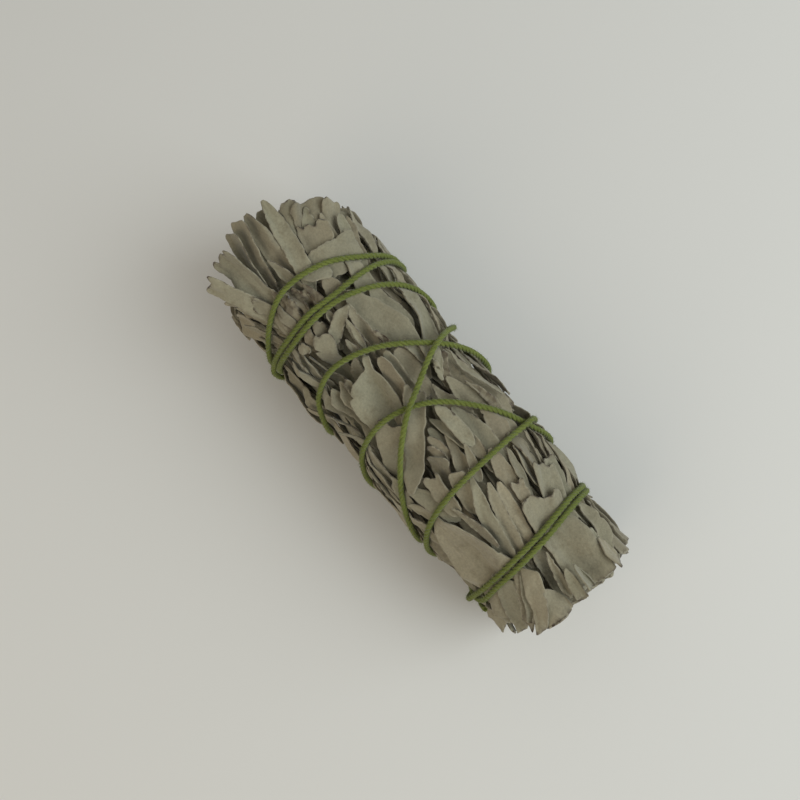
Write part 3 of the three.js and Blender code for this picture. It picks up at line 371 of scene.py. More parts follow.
def along_stations(stations, place):
    """A Catmull-Rom curve through rows of place and value."""
    last = len(stations) - 1
    k = np.clip(np.searchsorted(stations[:, 0], place) - 1, 0, last - 1)
    before, start = stations[np.maximum(k - 1, 0)], stations[k]
    end, after = stations[k + 1], stations[np.minimum(k + 2, last)]
    span = end[..., 0] - start[..., 0]
    t = clamp((place - start[..., 0]) / span, 0, 1)
    slope_in = (end[..., 1] - before[..., 1]) / (end[..., 0] - before[..., 0]) * span
    slope_out = (after[..., 1] - start[..., 1]) / (after[..., 0] - start[..., 0]) * span
    t2, t3 = t * t, t * t * t
    return ((2 * t3 - 3 * t2 + 1) * start[..., 1] + (t3 - 2 * t2 + t) * slope_in
            + (3 * t2 - 2 * t3) * end[..., 1] + (t3 - t2) * slope_out)


def body_radius(x):
    return along_stations(BODY_STATIONS, x)


RIDGES = [
    # height, how many stand round the bunch, radians of slant per mm along it, phase
    (0.28, 7, 0.06, 1.3),
    (0.22, 11, -0.09, 4.1),
    (0.25, 3, 0.23, 0.7),
]
PLEAT_HEIGHT = 0.75
PLEATS_FROM, PLEATS_FULL = -37, -48


def relief(x, a):
    """Long shallow ridges in the pressed leaves, and pleats where they are gathered beyond the tie."""
    ridges = sum(height * np.sin(count * a + slant * x + phase) for height, count, slant, phase in RIDGES)
    pleats = np.sin(15 * a + 2.2 + 0.5 * np.sin(4 * a))
    return ridges + PLEAT_HEIGHT * pleats * ease(PLEATS_FROM, PLEATS_FULL, x)


def place_round(x, a, r):
    """Points at x, at angle a round the axis (0 is the top, a quarter turn is +Y) and r away from it."""
    return np.stack([x, r * np.sin(a), AXIS_HEIGHT + r * np.cos(a)], axis=-1)


# ---------------------------------------------------------------- the height field round the axis
CELL = 0.4
FIELD_START = -60
ROWS = 301
COLUMNS = 240
COLUMN_ANGLE = TURN / COLUMNS
FIELD_X = FIELD_START + CELL * np.arange(ROWS)[:, None]
FIELD_A = COLUMN_ANGLE * np.arange(COLUMNS)[None, :]
LAST_CELL = ROWS - 1.001  # a little inside the last row


def at(field, x, a):
    """A field's value at any place."""
    fx = clamp((x - FIELD_START) / CELL, 0, LAST_CELL)
    fa = a / COLUMN_ANGLE
    i, j = np.floor(fx).astype(int), np.floor(fa).astype(int)
    tx, ta = fx - i, fa - j
    j0, j1 = j % COLUMNS, (j + 1) % COLUMNS
    return mix(mix(field[i, j0], field[i, j1], ta), mix(field[i + 1, j0], field[i + 1, j1], ta), tx)


def spread(field, reach, fold):
    """Each cell becomes fold(values within reach of it), first along X and then round the axis."""
    tall = np.pad(field, ((reach, reach), (0, 0)), mode="edge")
    field = fold([tall[k:k + ROWS] for k in range(2 * reach + 1)])
    wide = np.pad(field, ((0, 0), (reach, reach)), mode="wrap")
    return fold([wide[:, k:k + COLUMNS] for k in range(2 * reach + 1)])


def highest(layers):
    return np.maximum.reduce(layers)


def average(layers):
    return sum(layers) / len(layers)


def draped_over(field, stiffness):
    """What a leaf that bridges so many cells rests on."""
    return spread(spread(field, stiffness, highest), stiffness, average)


def slope_limited(field, slope):
    """Lowers a ceiling so that it rises from its low places at no more than a slope."""
    ramp = slope * CELL * np.arange(ROWS)[:, None]
    field = np.minimum.accumulate(field - ramp) + ramp
    field = np.minimum.accumulate((field + ramp)[::-1])[::-1] - ramp
    ramp = slope * COLUMN_ANGLE * AXIS_HEIGHT * np.arange(3 * COLUMNS)
    wide = np.minimum.accumulate(np.tile(field, 3) - ramp, axis=1) + ramp
    wide = np.minimum.accumulate((wide + ramp)[:, ::-1], axis=1)[:, ::-1] - ramp
    return wide[:, COLUMNS:2 * COLUMNS]


# ---------------------------------------------------------------- one leaf
def rounded(share, power):
    """How a leaf's outline closes towards an end, from 0 there to 1 inside."""
    return clamp(share * (2 - clamp(share, 0, 1)), 0, 1) ** power


END_ROOM = 0.02  # keeps a share of the width at the very ends
LONG_WAVE, SHORT_WAVE = 0.07, 0.04  # share of the width
STALK = SimpleNamespace(width=0.17, base_reach=0.5, blade_end=0.86, blade_reach=0.45, tip_reach=0.08)


def half_width(leaf, v, side):
    """Half the leaf's width at v, from 0 at its root to 1 at its tip."""
    wave = LONG_WAVE * np.sin(9 * v + leaf.phase + side)
    wave = wave + SHORT_WAVE * np.sin(23 * v + 2 * leaf.phase - side)
    root_share, tip_share = v + END_ROOM, 1 + END_ROOM - v
    base = rounded(root_share / leaf.base_reach, leaf.base_power)
    tip = rounded(tip_share / leaf.tip_reach, leaf.tip_power)
    if leaf.stalk:
        base = rounded(root_share / STALK.base_reach, 0.5)
        blade = rounded((STALK.blade_end - v) / STALK.blade_reach, 0.8)
        tip = np.maximum(blade, STALK.width * rounded(tip_share / STALK.tip_reach, 0.5))
    return (leaf.width / 2) * base * tip * (1 + leaf.waviness * wave)


def bent(bend, along, half):
    """How far a margin has turned: the way across is kept, so a curled leaf is narrower."""
    past = along - bend.at * half
    turned = np.minimum(np.maximum(past, 0) / bend.radius, abs(bend.angle))
    rest = np.maximum(past, 0) - turned * bend.radius
    across = bend.at * half + bend.radius * np.sin(turned) + rest * np.cos(turned)
    up = bend.radius * (1 - np.cos(turned)) + rest * np.sin(turned)
    return np.where(past <= 0, along, across), math.copysign(1, bend.angle) * up


def held(up, most):
    """What lies over a margin keeps it from standing up by more than about `most`."""
    return np.where(up > 0, most * (1 - np.exp(-np.maximum(up, 0) / most)), up)


FREE_FROM, FREE_FULL = 30, 50  # along the bunch, where leaves get more room to stand up
FREE_RISE = 3.6


def leaf_point(leaf, u, v, outline=None, shift=0):
    """Points of the leaf: their place round the bunch, and how far they stand over what it lies on."""
    side = np.where(u < 0, -1, 1)
    half = half_width(leaf, v, side) if outline is None else outline
    low, low_up = bent(leaf.low, np.abs(u) * half, half)
    high, high_up = bent(leaf.high, np.abs(u) * half, half)
    q = np.where(u < 0, -low, high)
    up = np.where(u < 0, low_up, high_up)
    along = (v - 0.5) * leaf.length + shift
    bowed = 0.5 * leaf.bow * along * along
    heading = leaf.turn + leaf.bow * along
    x = leaf.x + along * math.cos(leaf.turn) - bowed * math.sin(leaf.turn) - q * np.sin(heading)
    round_ = along * math.sin(leaf.turn) + bowed * math.cos(leaf.turn) + q * np.cos(heading)
    ripple = leaf.ripple * u * u * np.sin(leaf.ripple_rate * v + leaf.phase * (2 + side))
    loose = ease(FREE_FROM, FREE_FULL, x)
    rise = leaf.rise * loose * (0.4 + 0.6 * u * side)
    folded = np.abs(q) * leaf.fold + q * leaf.tilt
    up = held(up + ripple + folded, mix(leaf.freedom, FREE_RISE, loose))
    return x, leaf.a + round_ / leaf.reference, up + rise + leaf.lift * v * v


TURNED_UNDER = 0.25  # share of the margins that curl the other way
UNDER_CURL = -0.3


def drawn_curl(draw, most, radius):
    """A margin that is curled by up to so many degrees, or the other way and less."""
    angle = draw() * most * DEGREE * (UNDER_CURL if draw() < TURNED_UNDER else 1)
    return SimpleNamespace(at=0.35 + 0.4 * draw(), radius=radius * (0.7 + 0.8 * draw()), angle=angle)


NEAR_CUT = 2  # a root nearer to the cut than this is cut off too
CUT_REACH = 0.05  # a cut end is as wide as the leaf
CUT_RAGGEDNESS = 0.5
TORN_DEPTH = 1.2


def drawn_leaf(draw, kind, x, a):
    """Draws are made in one fixed order, so that the same leaves come out as in the solids."""
    leaf = SimpleNamespace(name=kind.name, a=a, freedom=1.2, waviness=1, stalk=False)
    leaf.fold, leaf.tilt, leaf.lift, leaf.tint, leaf.crumpling = 0, 0, 0, 0, 0
    leaf.length = mix(*kind.length, draw())
    leaf.width = mix(*kind.width, draw())
    leaf.turn = (draw() + draw() - 1) * kind.turn * DEGREE
    leaf.bow = (draw() - 0.5) * kind.bow
    leaf.low, leaf.high = (drawn_curl(draw, kind.curl, kind.curl_radius) for _ in range(2))
    leaf.phase = draw() * TURN
    leaf.ripple = kind.ripple * draw()
    leaf.ripple_rate = 7 + 8 * draw()
    leaf.rise = kind.rise * draw()
    leaf.base_reach = CUT_REACH if kind.cut else 0.45
    leaf.base_power = 0.7
    leaf.tip_reach = 0.35 + 0.3 * draw()
    leaf.tip_power = 0.5 + 0.35 * draw()
    leaf.base_torn, leaf.tip_torn = (CUT_RAGGEDNESS if kind.cut else 0), 0
    # x is a leaf's middle, its cut end or its tip
    leaf.x = x + (kind.anchor * leaf.length) / 2 + (draw() - 0.5) * kind.scatter
    return leaf


# How an end narrows: over what share of the leaf's length, and how roundly.
LeafEnd = namedtuple("LeafEnd", "reach power")
LEAF_ENDS = {
    "round": LeafEnd(0.5, 0.7),
    "point": LeafEnd(0.75, 0.85),
    "torn": LeafEnd(0.08, 0.3),
    "blunt": LeafEnd(0.12, 0.4),
    "cut": LeafEnd(0.7, 0.8),
    "cutheld": LeafEnd(0.06, 0.3),
    "wedge": LeafEnd(0.06, 0.3),
    "drop": LeafEnd(0.95, 1.1),
    "stalk": LeafEnd(0.4, 0.5),
}


def curled_by(draw, degrees):
    """A margin that is curled by a given angle."""
    return SimpleNamespace(at=0.3 + 0.3 * draw(), radius=0.5 + 0.4 * draw(), angle=degrees * DEGREE)


def upper_leaf(draw, root_x, root_turn, tip_x, tip_turn, width, sag, bend, end, tint):
    """A leaf laid from its root to its tip, with a sideways sag between them."""
    right_curl, left_curl, fold, tilt, lift, crumpling = BENDS[bend]
    reach = body_radius((root_x + tip_x) / 2) * DEGREE
    round_ = (tip_turn - root_turn) * reach
    leaf = SimpleNamespace(name="upper", width=width, x=(root_x + tip_x) / 2, freedom=1.5, waviness=0.5)
    leaf.fold, leaf.tilt = math.tan(fold * DEGREE), math.tan(tilt * DEGREE)
    leaf.lift, leaf.crumpling, leaf.tint, leaf.stalk = lift, crumpling, tint, end == "stalk"
    leaf.a = ((root_turn + tip_turn) / 2) * DEGREE
    leaf.length = math.hypot(tip_x - root_x, round_)
    leaf.turn = math.atan2(round_, tip_x - root_x)
    leaf.bow = (-8 * sag) / leaf.length ** 2
    leaf.x -= math.sin(leaf.turn) * sag
    leaf.a += math.cos(leaf.turn) * sag / reach * DEGREE
    leaf.low, leaf.high = curled_by(draw, right_curl), curled_by(draw, left_curl)
    leaf.phase = draw() * TURN
    leaf.ripple = 0.15 + 0.25 * draw()
    leaf.ripple_rate = 7 + 8 * draw()
    leaf.rise = 0
    is_wedge = end == "wedge"
    is_cut = not is_wedge and (end.startswith("cut") or root_x < CUT_END + NEAR_CUT)
    leaf.base_reach = 0.9 if is_wedge else CUT_REACH if is_cut else 0.3
    leaf.base_power = 0.5 if is_cut else 0.7
    leaf.base_torn = CUT_RAGGEDNESS if is_cut else 0
    leaf.tip_reach, leaf.tip_power = LEAF_ENDS[end]
    leaf.tip_torn = TORN_DEPTH if end == "torn" else 0
    return leaf


VIEW_RIGHT = np.array([-math.cos(VIEW_SLANT), -math.sin(VIEW_SLANT), 0])
VIEW_BACK = np.array([
    -math.sin(VIEW_SLANT) * math.sin(VIEW_LEAN),
    math.cos(VIEW_SLANT) * math.sin(VIEW_LEAN),
    math.cos(VIEW_LEAN),
])
VIEW_UP = np.cross(VIEW_BACK, VIEW_RIGHT)
VIEW_PLACE = VIEW_TARGET + VIEW_DISTANCE * VIEW_BACK
VIEW_FOCUS = VIEW_DISTANCE / VIEW_MM_PER_PIXEL  # in pixels
SIGHT_PASSES = 3
LEAF_LIE = 0.2  # how far a leaf lies over the body's radius
MIDDLE_LIFTED, TIP_LIFTED = 0.4, 0.9  # shares of a tip's lift at which a leaf's middle and tip are met
MOST_SAG = 3
ROOT_TUCK = 1.8  # how far a root runs on under the leaves beside it
HIDDEN_MARGINS = 0.8  # what the leaves beside it hide of a leaf's width
NARROW_LEAF = 2.5  # a narrower one shows all its length
CUT_ROOM = 0.7  # no root is nearer to the cut than this


def meets_bunch(spot, stands_out=0):
    """Where the line of sight through a spot of the view meets the bunch: x, and degrees round the axis."""
    right, down = spot[0] - VIEW_PIXELS / 2, spot[1] - VIEW_PIXELS / 2
    sight = right * VIEW_RIGHT - down * VIEW_UP - VIEW_FOCUS * VIEW_BACK
    sight /= np.linalg.norm(sight)
    start = VIEW_PLACE - np.array([0, 0, AXIS_HEIGHT])
    steep, towards = sight[1:] @ sight[1:], start[1:] @ sight[1:]
    x = 0
    for _ in range(SIGHT_PASSES):
        radius = body_radius(x) + LEAF_LIE + stands_out
        # a line that passes beside the bunch is taken where it comes nearest
        inside = max(towards ** 2 - steep * (start[1:] @ start[1:] - radius ** 2), 0)
        x, y, z = start + sight * (-towards - math.sqrt(inside)) / steep
    return x, math.atan2(y, z) / DEGREE


def seen_leaf(draw, seen):
    """A leaf of the upper side, laid so that its root, middle and tip stand at their spots of the view."""
    lift = BENDS[seen.bend].lift
    root_x, root_turn = meets_bunch(seen.root)
    middle_x, middle_turn = meets_bunch(seen.mid, MIDDLE_LIFTED * lift)
    tip_x, tip_turn = meets_bunch(seen.tip, TIP_LIFTED * lift)
    reach = body_radius((root_x + tip_x) / 2) * DEGREE
    heading = math.atan2((tip_turn - root_turn) * reach, tip_x - root_x)
    off_x = middle_x - (root_x + tip_x) / 2
    off_round = (middle_turn - (root_turn + tip_turn) / 2) * reach
    sag = clamp(off_round * math.cos(heading) - off_x * math.sin(heading), -MOST_SAG, MOST_SAG)
    tuck = 0 if seen.end.startswith("cut") or seen.width < NARROW_LEAF else ROOT_TUCK
    root_x = max(root_x - tuck * math.cos(heading), CUT_END + CUT_ROOM)
    root_turn -= tuck * math.sin(heading) / reach
    width = seen.width + HIDDEN_MARGINS
    return upper_leaf(draw, root_x, root_turn, tip_x, tip_turn, width, sag, seen.bend, seen.end, seen.tint)


# What the leaves of one kind share. A pair is the least and the most. Lengths are in mm, and the turn away
# from the axis and the curl in degrees. The anchor says what stands at a leaf's x: -1 is its tip, 0 its
# middle and 1 its cut end.
KIND_VALUES = "name length width turn bow curl curl_radius ripple rise cut anchor scatter"
LeafKind = namedtuple("LeafKind", KIND_VALUES)
HEART_TIP = LeafKind("heart", (24, 30), (7, 11), 8, 0.006, 60, 2.4, 0.35, 0, False, -1, 3)
HEART_CUT = LeafKind("heart", (22, 28), (7, 11.5), 7, 0.006, 60, 2.2, 0.4, 0, True, 1, 1.6)
COAT_CUT = LeafKind("coat", (30, 46), (11, 16), 14, 0.012, 75, 1.8, 0.5, 0, True, 1, 2)
COAT_MIDDLE = LeafKind("coat", (32, 50), (10, 16), 32, 0.02, 95, 1.6, 0.5, 0, False, 0, 12)
COAT_TIP = LeafKind("coat", (30, 46), (9, 14), 13, 0.012, 85, 1.8, 0.5, 2.4, False, -1, 5)
HEART_STAGGER = 4  # how far the inner tips stand back, one behind another
COATS = 2
COAT_ROWS = [
    # kind, x, leaves round the bunch
    (COAT_CUT, CUT_END, 13),
    (COAT_MIDDLE, -16, 12),
    (COAT_MIDDLE, 8, 12),
    (COAT_TIP, 48, 14),
]


def heart_leaves(draw):
    """The inner leaves, in pairs: one that shows its tip and one that is cut off."""
    leaves = []
    for k in range(HEART_LEAVES):
        tip_x = TIP_END - (HEART_STAGGER * k) / HEART_LEAVES
        leaves.append(drawn_leaf(draw, HEART_TIP, tip_x, k * GOLDEN_TURN))
        leaves.append(drawn_leaf(draw, HEART_CUT, CUT_END, k * GOLDEN_TURN + 1))
    return leaves


def coat_leaves(draw):
    """The broad leaves over the inner ones: rows of them along the bunch, laid in a mixed order."""
    leaves = []
    for coat in range(COATS):
        laid = []
        for kind, x, count in COAT_ROWS:
            for k in range(count):
                a = ((k + 0.5 * coat + 0.5 * draw()) * TURN) / count
                laid.append(drawn_leaf(draw, kind, x, a))
        for k in range(len(laid) - 1, 0, -1):
            other = int(draw() * (k + 1))
            laid[k], laid[other] = laid[other], laid[k]
        leaves += laid
    return leaves


LOOSE_LEAVES = [
    # how many, from degrees, to degrees, width
    (70, -80, 95, (3.0, 6.5)),
    (120, 95, 280, (3.0, 8.5)),
]
LOOSE_BENDS = ("curled", "turned", "rolled", "folded", "cupped", "flat")
LOOSE_ENDS = ("point", "round", "torn", "point")
LOOSE_ALONG = (-50, 44)
LOOSE_LENGTH = (12, 28)
LOOSE_TINT = (-0.7, 0.6)
LOOSE_TURN = 44  # degrees of the bunch's girth that one may cross
LOOSE_CUT_ROOM, LOOSE_TIP_ROOM = 0.4, 9
LOOSE_SEED = 4


def loose_leaves(draw):
    """Narrow folded leaves and torn strips: among the listed ones, and over the rest of the bunch."""
    leaves = []
    for count, start, end, widths in LOOSE_LEAVES:
        for k in range(count):
            a = mix(start, end, (k * GOLDEN_TURN / TURN) % 1)
            x = mix(*LOOSE_ALONG, (k + draw()) / count)
            half_length = mix(*LOOSE_LENGTH, draw()) / 2
            half_turn = (draw() - 0.5) * LOOSE_TURN / 2
            root_x = max(x - half_length, CUT_END + LOOSE_CUT_ROOM)
            tip_x = min(x + half_length, TIP_END - LOOSE_TIP_ROOM)
            shape = LOOSE_ENDS[int(len(LOOSE_ENDS) * draw())]
            bend = LOOSE_BENDS[int(len(LOOSE_BENDS) * draw())]
            width, sag, tint = mix(*widths, draw()), 2 * draw() - 1, mix(*LOOSE_TINT, draw())
            leaf = upper_leaf(
                draw, root_x, a - half_turn, tip_x, a + half_turn, width, sag, bend, shape, tint,
            )
            leaf.tilt = 0.5 * (draw() - 0.5)
            leaf.name = "loose"
            leaves.append(leaf)
    return leaves


# ---------------------------------------------------------------- the string's line
STRING_SAMPLE = 1.5  # degrees
CROSSING_SAMPLES = 9  # a hump over a crossing reaches so far to each side
TURN_SAMPLES = 360 / STRING_SAMPLE
EARLIER_TURN = 0.8  # share of a turn from which on the string can cross itself
TOUCHING = 0.3  # where centres are as near as this, the later strand is lifted in full
FLATTEST = 0.01  # stands in for the cosine on the upper side, where the ground limits nothing


def string_line():
    """The string's centre line: x, angle and distance from the axis."""
    route = np.array(STRING_ROUTE, dtype=float)
    degrees = np.arange(route[0, 0], route[-1, 0] + TINY, STRING_SAMPLE)
    x = along_stations(route, degrees)
    a = degrees * DEGREE
    near = np.zeros(len(x))
    for k in range(len(x)):
        earlier = slice(0, max(0, math.ceil(k - EARLIER_TURN * TURN_SAMPLES)))
        between = (a[k] - a[earlier] + math.pi) % TURN - math.pi
        if len(between):
            nearest = np.hypot(x[k] - x[earlier], between * AXIS_HEIGHT).min()
            near[k] = ease(STRING_DIAMETER, TOUCHING, nearest)
    hump = np.zeros(len(x))
    places = np.arange(len(x))
    for m in range(-CROSSING_SAMPLES, CROSSING_SAMPLES + 1):
        share = 1 - abs(m) / (CROSSING_SAMPLES + 1)
        hump = np.maximum(hump, near[np.clip(places + m, 0, len(x) - 1)] * share)
    down = np.maximum(FLATTEST, -np.cos(a))
    lowest = (AXIS_HEIGHT - STRING_DIAMETER / 2 - GROUND_GAP) / down
    lifted = body_radius(x) + STRING_LIFT + STRING_DIAMETER * ease(0, 1, hump)
    return SimpleNamespace(x=x, a=a, r=np.minimum(lifted, lowest))


OPEN = 30  # a ceiling that limits nothing
STRING_VALLEY = 0.5  # how steeply leaves rise beside the string
NEXT_CELLS = (-2, -1, 0, 1, 2)  # the string lowers the ceiling over so many cells to each side


def ceiling_under(line):
    """The highest that leaves may reach: under the string, and a little past the surface they rest on."""
    down = np.maximum(FLATTEST, -np.cos(FIELD_A + 0 * FIELD_X))
    ceiling = np.minimum(OPEN, (AXIS_HEIGHT + REST_TRIM) / down)
    fi = np.round((line.x - FIELD_START) / CELL).astype(int)
    fj = np.round(line.a / COLUMN_ANGLE).astype(int)
    for di in NEXT_CELLS:
        for dj in NEXT_CELLS:
            i, j = fi + di, fj + dj
            away = np.hypot(FIELD_START + i * CELL - line.x, (j * COLUMN_ANGLE - line.a) * line.r)
            np.minimum.at(ceiling, (i, j % COLUMNS), line.r - STRING_DIAMETER / 2 + STRING_VALLEY * away)
    return slope_limited(ceiling, STRING_VALLEY)


# ---------------------------------------------------------------- laying and pressing the leaves
SAMPLE_STEP = 0.3
STIFFNESS = {"heart": 2, "coat": 2, "loose": 3, "upper": 4}  # cells that a leaf bridges
HELD_FROM, HELD_TO = -46, 42.5  # past these a stiff leaf goes straight on
START_SPAN = 2  # half the length over which the first leaves narrow towards the ends
START_FROM = 30
LEAST_REFERENCE = 2
WIDEST = 5  # times the radius that a leaf lies at
STANDING_SHARE = 0.3  # how much of a raised margin lifts the next leaf
FULLNESS = 0.4  # the leaves swell a little between the turns of the string
LEVEL_FROM, LEVEL_TO = -44, 42  # past these the leaves' own height says nothing about the body's
LEVEL_BRIDGED, LEVEL_SMOOTHED = 4, (12, 10)  # cells
RAISED = 0.5  # a leaf whose tip is lifted by more may sink among the others
SUNK_BEFORE, SUNK_BEYOND = 8, 1.5  # by so much at most, before the tie and beyond it
BEYOND_TIE = (34, 40)
SHOWN_OVER = 0.8  # a leaf that comes so far over the body's radius shows
PRESSED_SLOPE = 1.4


def samples_of(leaf):
    """Points all over the leaf: their place, how far they stand up, and their cells of the field."""
    rows = math.ceil(leaf.length / SAMPLE_STEP)
    columns = math.ceil(leaf.width / SAMPLE_STEP)
    v = np.arange(rows + 1)[:, None] / rows + np.zeros(columns + 1)
    u = 2 * np.arange(columns + 1)[None, :] / columns - 1 + np.zeros((rows + 1, 1))
    x, a, up = (value.ravel() for value in leaf_point(leaf, u, v))
    i = np.round((x - FIELD_START) / CELL).astype(int)
    inside = (i >= 0) & (i < ROWS)
    x, a, up, i = x[inside], a[inside], up[inside], i[inside]
    return x, a, up, (i, np.round(a / COLUMN_ANGLE).astype(int) % COLUMNS)


def rest_of(leaf, x, a):
    """The height that the leaf rests on."""
    if leaf.name in ("heart", "coat"):
        return at(leaf.floor, x, a)
    return at(leaf.floor, clamp(x, HELD_FROM, HELD_TO), a)


def lay_leaves(leaves):
    """From the inside out: each leaf drapes over the ones before it. Gives the height they all reach."""
    end = np.where(FIELD_X < 0, HEART_START.cut, HEART_START.tip)
    outer, inner = START_FROM + START_SPAN, START_FROM - START_SPAN
    within = ease(-outer, -inner, FIELD_X) * ease(outer, inner, FIELD_X)
    floor = mix(end, HEART_START.middle, within) + 0 * FIELD_A
    for leaf in leaves:
        leaf.floor = draped_over(floor, STIFFNESS[leaf.name])
        leaf.reference = max(LEAST_REFERENCE, float(at(leaf.floor, np.float64(leaf.x), np.float64(leaf.a))))
        leaf.width = min(leaf.width, leaf.reference * WIDEST)
        x, a, up, cells = samples_of(leaf)
        top = rest_of(leaf, x, a) + LEAF_THICKNESS + STANDING_SHARE * np.maximum(up, 0)
        np.maximum.at(floor, cells, top)
    return floor


def press_of(floor):
    """What brings the laid leaves to the body's radius."""
    inside = at(floor, clamp(FIELD_X, LEVEL_FROM, LEVEL_TO) + 0 * FIELD_A, FIELD_A + 0 * FIELD_X)
    level = spread(inside, LEVEL_BRIDGED, highest)
    for reach in LEVEL_SMOOTHED:
        level = spread(level, reach, average)
    return (body_radius(FIELD_X) + relief(FIELD_X, FIELD_A) + FULLNESS) / level


def leaf_height(leaf, press, x, a, up, thickness):
    """How far from the axis a leaf's points come to lie."""
    resting = rest_of(leaf, x, a) * at(press, x, a)
    if leaf.lift > RAISED:
        sunk = mix(SUNK_BEFORE, SUNK_BEYOND, ease(*BEYOND_TIE, x))
        resting = np.maximum(resting, body_radius(x) - sunk)
    free = resting + thickness / 2 + up
    return np.minimum(free, at(leaf.ceiling, x, a) - thickness / 2)


def press_leaves(leaves, press, ceiling):
    """From the outside in: what lies over a leaf presses it down."""
    for leaf in reversed(leaves):
        leaf.ceiling = ceiling.copy()
        x, a, up, cells = samples_of(leaf)
        leaf.shown = (leaf.ceiling[cells] > body_radius(x) + SHOWN_OVER).any()
        low = leaf_height(leaf, press, x, a, up, LEAF_THICKNESS) - LEAF_THICKNESS / 2
        np.minimum.at(ceiling, cells, low)
        ceiling = slope_limited(ceiling, PRESSED_SLOPE)


# ---------------------------------------------------------------- fine leaves
GROUND_CLEARANCE = 0.03  # what is pressed flat stays so far over the surface
PIECE_TRIANGLES = 190_000
ROW_STEP = {"heart": 1.2, "coat": 0.8, "loose": 0.55, "upper": 0.42}
COLUMN_STEP = {"heart": 1.2, "coat": 1.0, "loose": 0.55, "upper": 0.48}
HIDDEN_COARSENESS = 1.7  # how much coarser a leaf is that doesn't show
LEAST_ROWS, LEAST_COLUMNS = 12, 9
WAVE_SPREAD = (0.7, 1.5)  # shares of the wanted length


def waves(rng, length, stretch=1.0, count=8):
    """A smooth random surface with waves of about one length in mm, stretched along the leaf."""
    heading = rng.uniform(0, TURN, count)
    rate = TURN / (length * rng.uniform(*WAVE_SPREAD, count))
    kp, kq = rate * np.cos(heading) / stretch, rate * np.sin(heading)
    phase = rng.uniform(0, TURN, count)

    def value(p, q):
        return np.sin(p[..., None] * kp + q[..., None] * kq + phase).sum(-1) / math.sqrt(count)

    return value


def detail_of(rng):
    """What makes one leaf's own surface and outline."""
    tears = []
    for _ in range(rng.integers(0, 3)):
        tears.append(SimpleNamespace(
            v=rng.uniform(0.15, 0.95), side=rng.choice((-1, 1)),
            width=rng.uniform(0.2, 0.7), depth=rng.uniform(0.2, 1.1),
        ))
    return SimpleNamespace(
        tears=tears,
        crenate=waves(rng, 1.1), scalloped=waves(rng, 4.5),
        jagged=waves(rng, 1.0), broken=waves(rng, 5.0),
        crumple=waves(rng, 5.0, stretch=2.2), wrinkle=waves(rng, 1.9, stretch=3.0),
        creased=waves(rng, 6.0, stretch=3.0), crushed=waves(rng, 3.4, stretch=1.2),
        midrib=rng.choice((-1, 1)) * rng.uniform(0.04, 0.14),
        tone=rng.normal(), warm=rng.uniform(), brown=rng.uniform(0.2, 1.0),
        tip_lift=rng.uniform(0, 0.5), place=rng.uniform(0, 100),
    )


def zigzag(v):
    """Straight slopes with sharp turns, between -1 and 1."""
    return 1 - np.abs((v + 1) % 4 - 2)


SCALLOP_HEIGHT = 0.045
CORNER_HEIGHT = 0.16
CORNER_SPREAD = 1.5
PLAIN_BELOW = 1.5  # where half the width is less, the outline gets plainer
SIDES_APART = 200  # so that the two margins differ
LEAST_HALF_WIDTH = 0.05


def outline_of(leaf, detail, u, v):
    """Half the leaf's width with its small scallops and tears."""
    side = np.where(u < 0, -1, 1)
    half = half_width(leaf, v, side)
    own = v * leaf.length + SIDES_APART * side
    corners = zigzag(CORNER_SPREAD * detail.scalloped(own, 0 * own))
    edge = SCALLOP_HEIGHT * detail.crenate(own, 0 * own) + CORNER_HEIGHT * corners
    half = half + edge * clamp(half / PLAIN_BELOW, 0, 1)
    for tear in detail.tears:
        notch = clamp(1 - np.abs(v - tear.v) * leaf.length / tear.width, 0, 1)
        half = half - (side == tear.side) * np.minimum(tear.depth, 0.5 * half) * notch
    return np.maximum(half, LEAST_HALF_WIDTH)


CUT_TRIM = 0.2
CUT_SETBACK = 3  # how far the cut slants back on the +Y side
CUT_SETBACK_AT = 75  # degrees round the axis
CUT_SETBACK_SPAN = 35
CUT_SOFTNESS = 0.25  # over what length leaves that stand out are brought back


def cut_at(a):
    """Where along the bunch the slanting cut runs."""
    away = (a / DEGREE - CUT_SETBACK_AT + 180) % 360 - 180
    return CUT_END + CUT_TRIM + CUT_SETBACK * np.exp(-(away / CUT_SETBACK_SPAN) ** 2)


def cut_off(x, a):
    """Brings what stands out past the cut back to it."""
    return cut_at(a) + CUT_SOFTNESS * np.logaddexp(0, (x - cut_at(a)) / CUT_SOFTNESS)


def grid_over(leaf):
    """Places across the leaf, from -1 to 1, and along it, from 0 to 1: closer at its margins and ends."""
    coarser = 1 if leaf.shown else HIDDEN_COARSENESS
    rows = max(LEAST_ROWS, math.ceil(leaf.length / (coarser * ROW_STEP[leaf.name])))
    columns = max(LEAST_COLUMNS, math.ceil(leaf.width / (coarser * COLUMN_STEP[leaf.name])))
    t = np.linspace(0, 1, rows)[:, None]
    v = 0.5 * t + 0.5 * (0.5 - 0.5 * np.cos(math.pi * t)) + np.zeros(columns)
    u = np.sin(0.5 * math.pi * np.linspace(-1, 1, columns))[None, :] + np.zeros((rows, 1))
    return u, v


SMALL_TEETH, LARGE_TEETH = 0.15, 0.85  # what a torn end's zigzag is made of
CALMER_MARGINS = 0.7
TIP_TORN_FROM, BASE_TORN_TO = 0.7, 0.3  # along the leaf


def torn_by(leaf, detail, u, v, q):
    """How far each point is moved along the leaf to tear its ends."""
    teeth = SMALL_TEETH * zigzag(detail.jagged(q, 0 * q)) + LARGE_TEETH * zigzag(detail.broken(q, 0 * q))
    teeth = teeth * (1 - CALMER_MARGINS * u ** 4)
    return teeth * (leaf.tip_torn * ease(TIP_TORN_FROM, 1, v) + leaf.base_torn * ease(BASE_TORN_TO, 0, v))


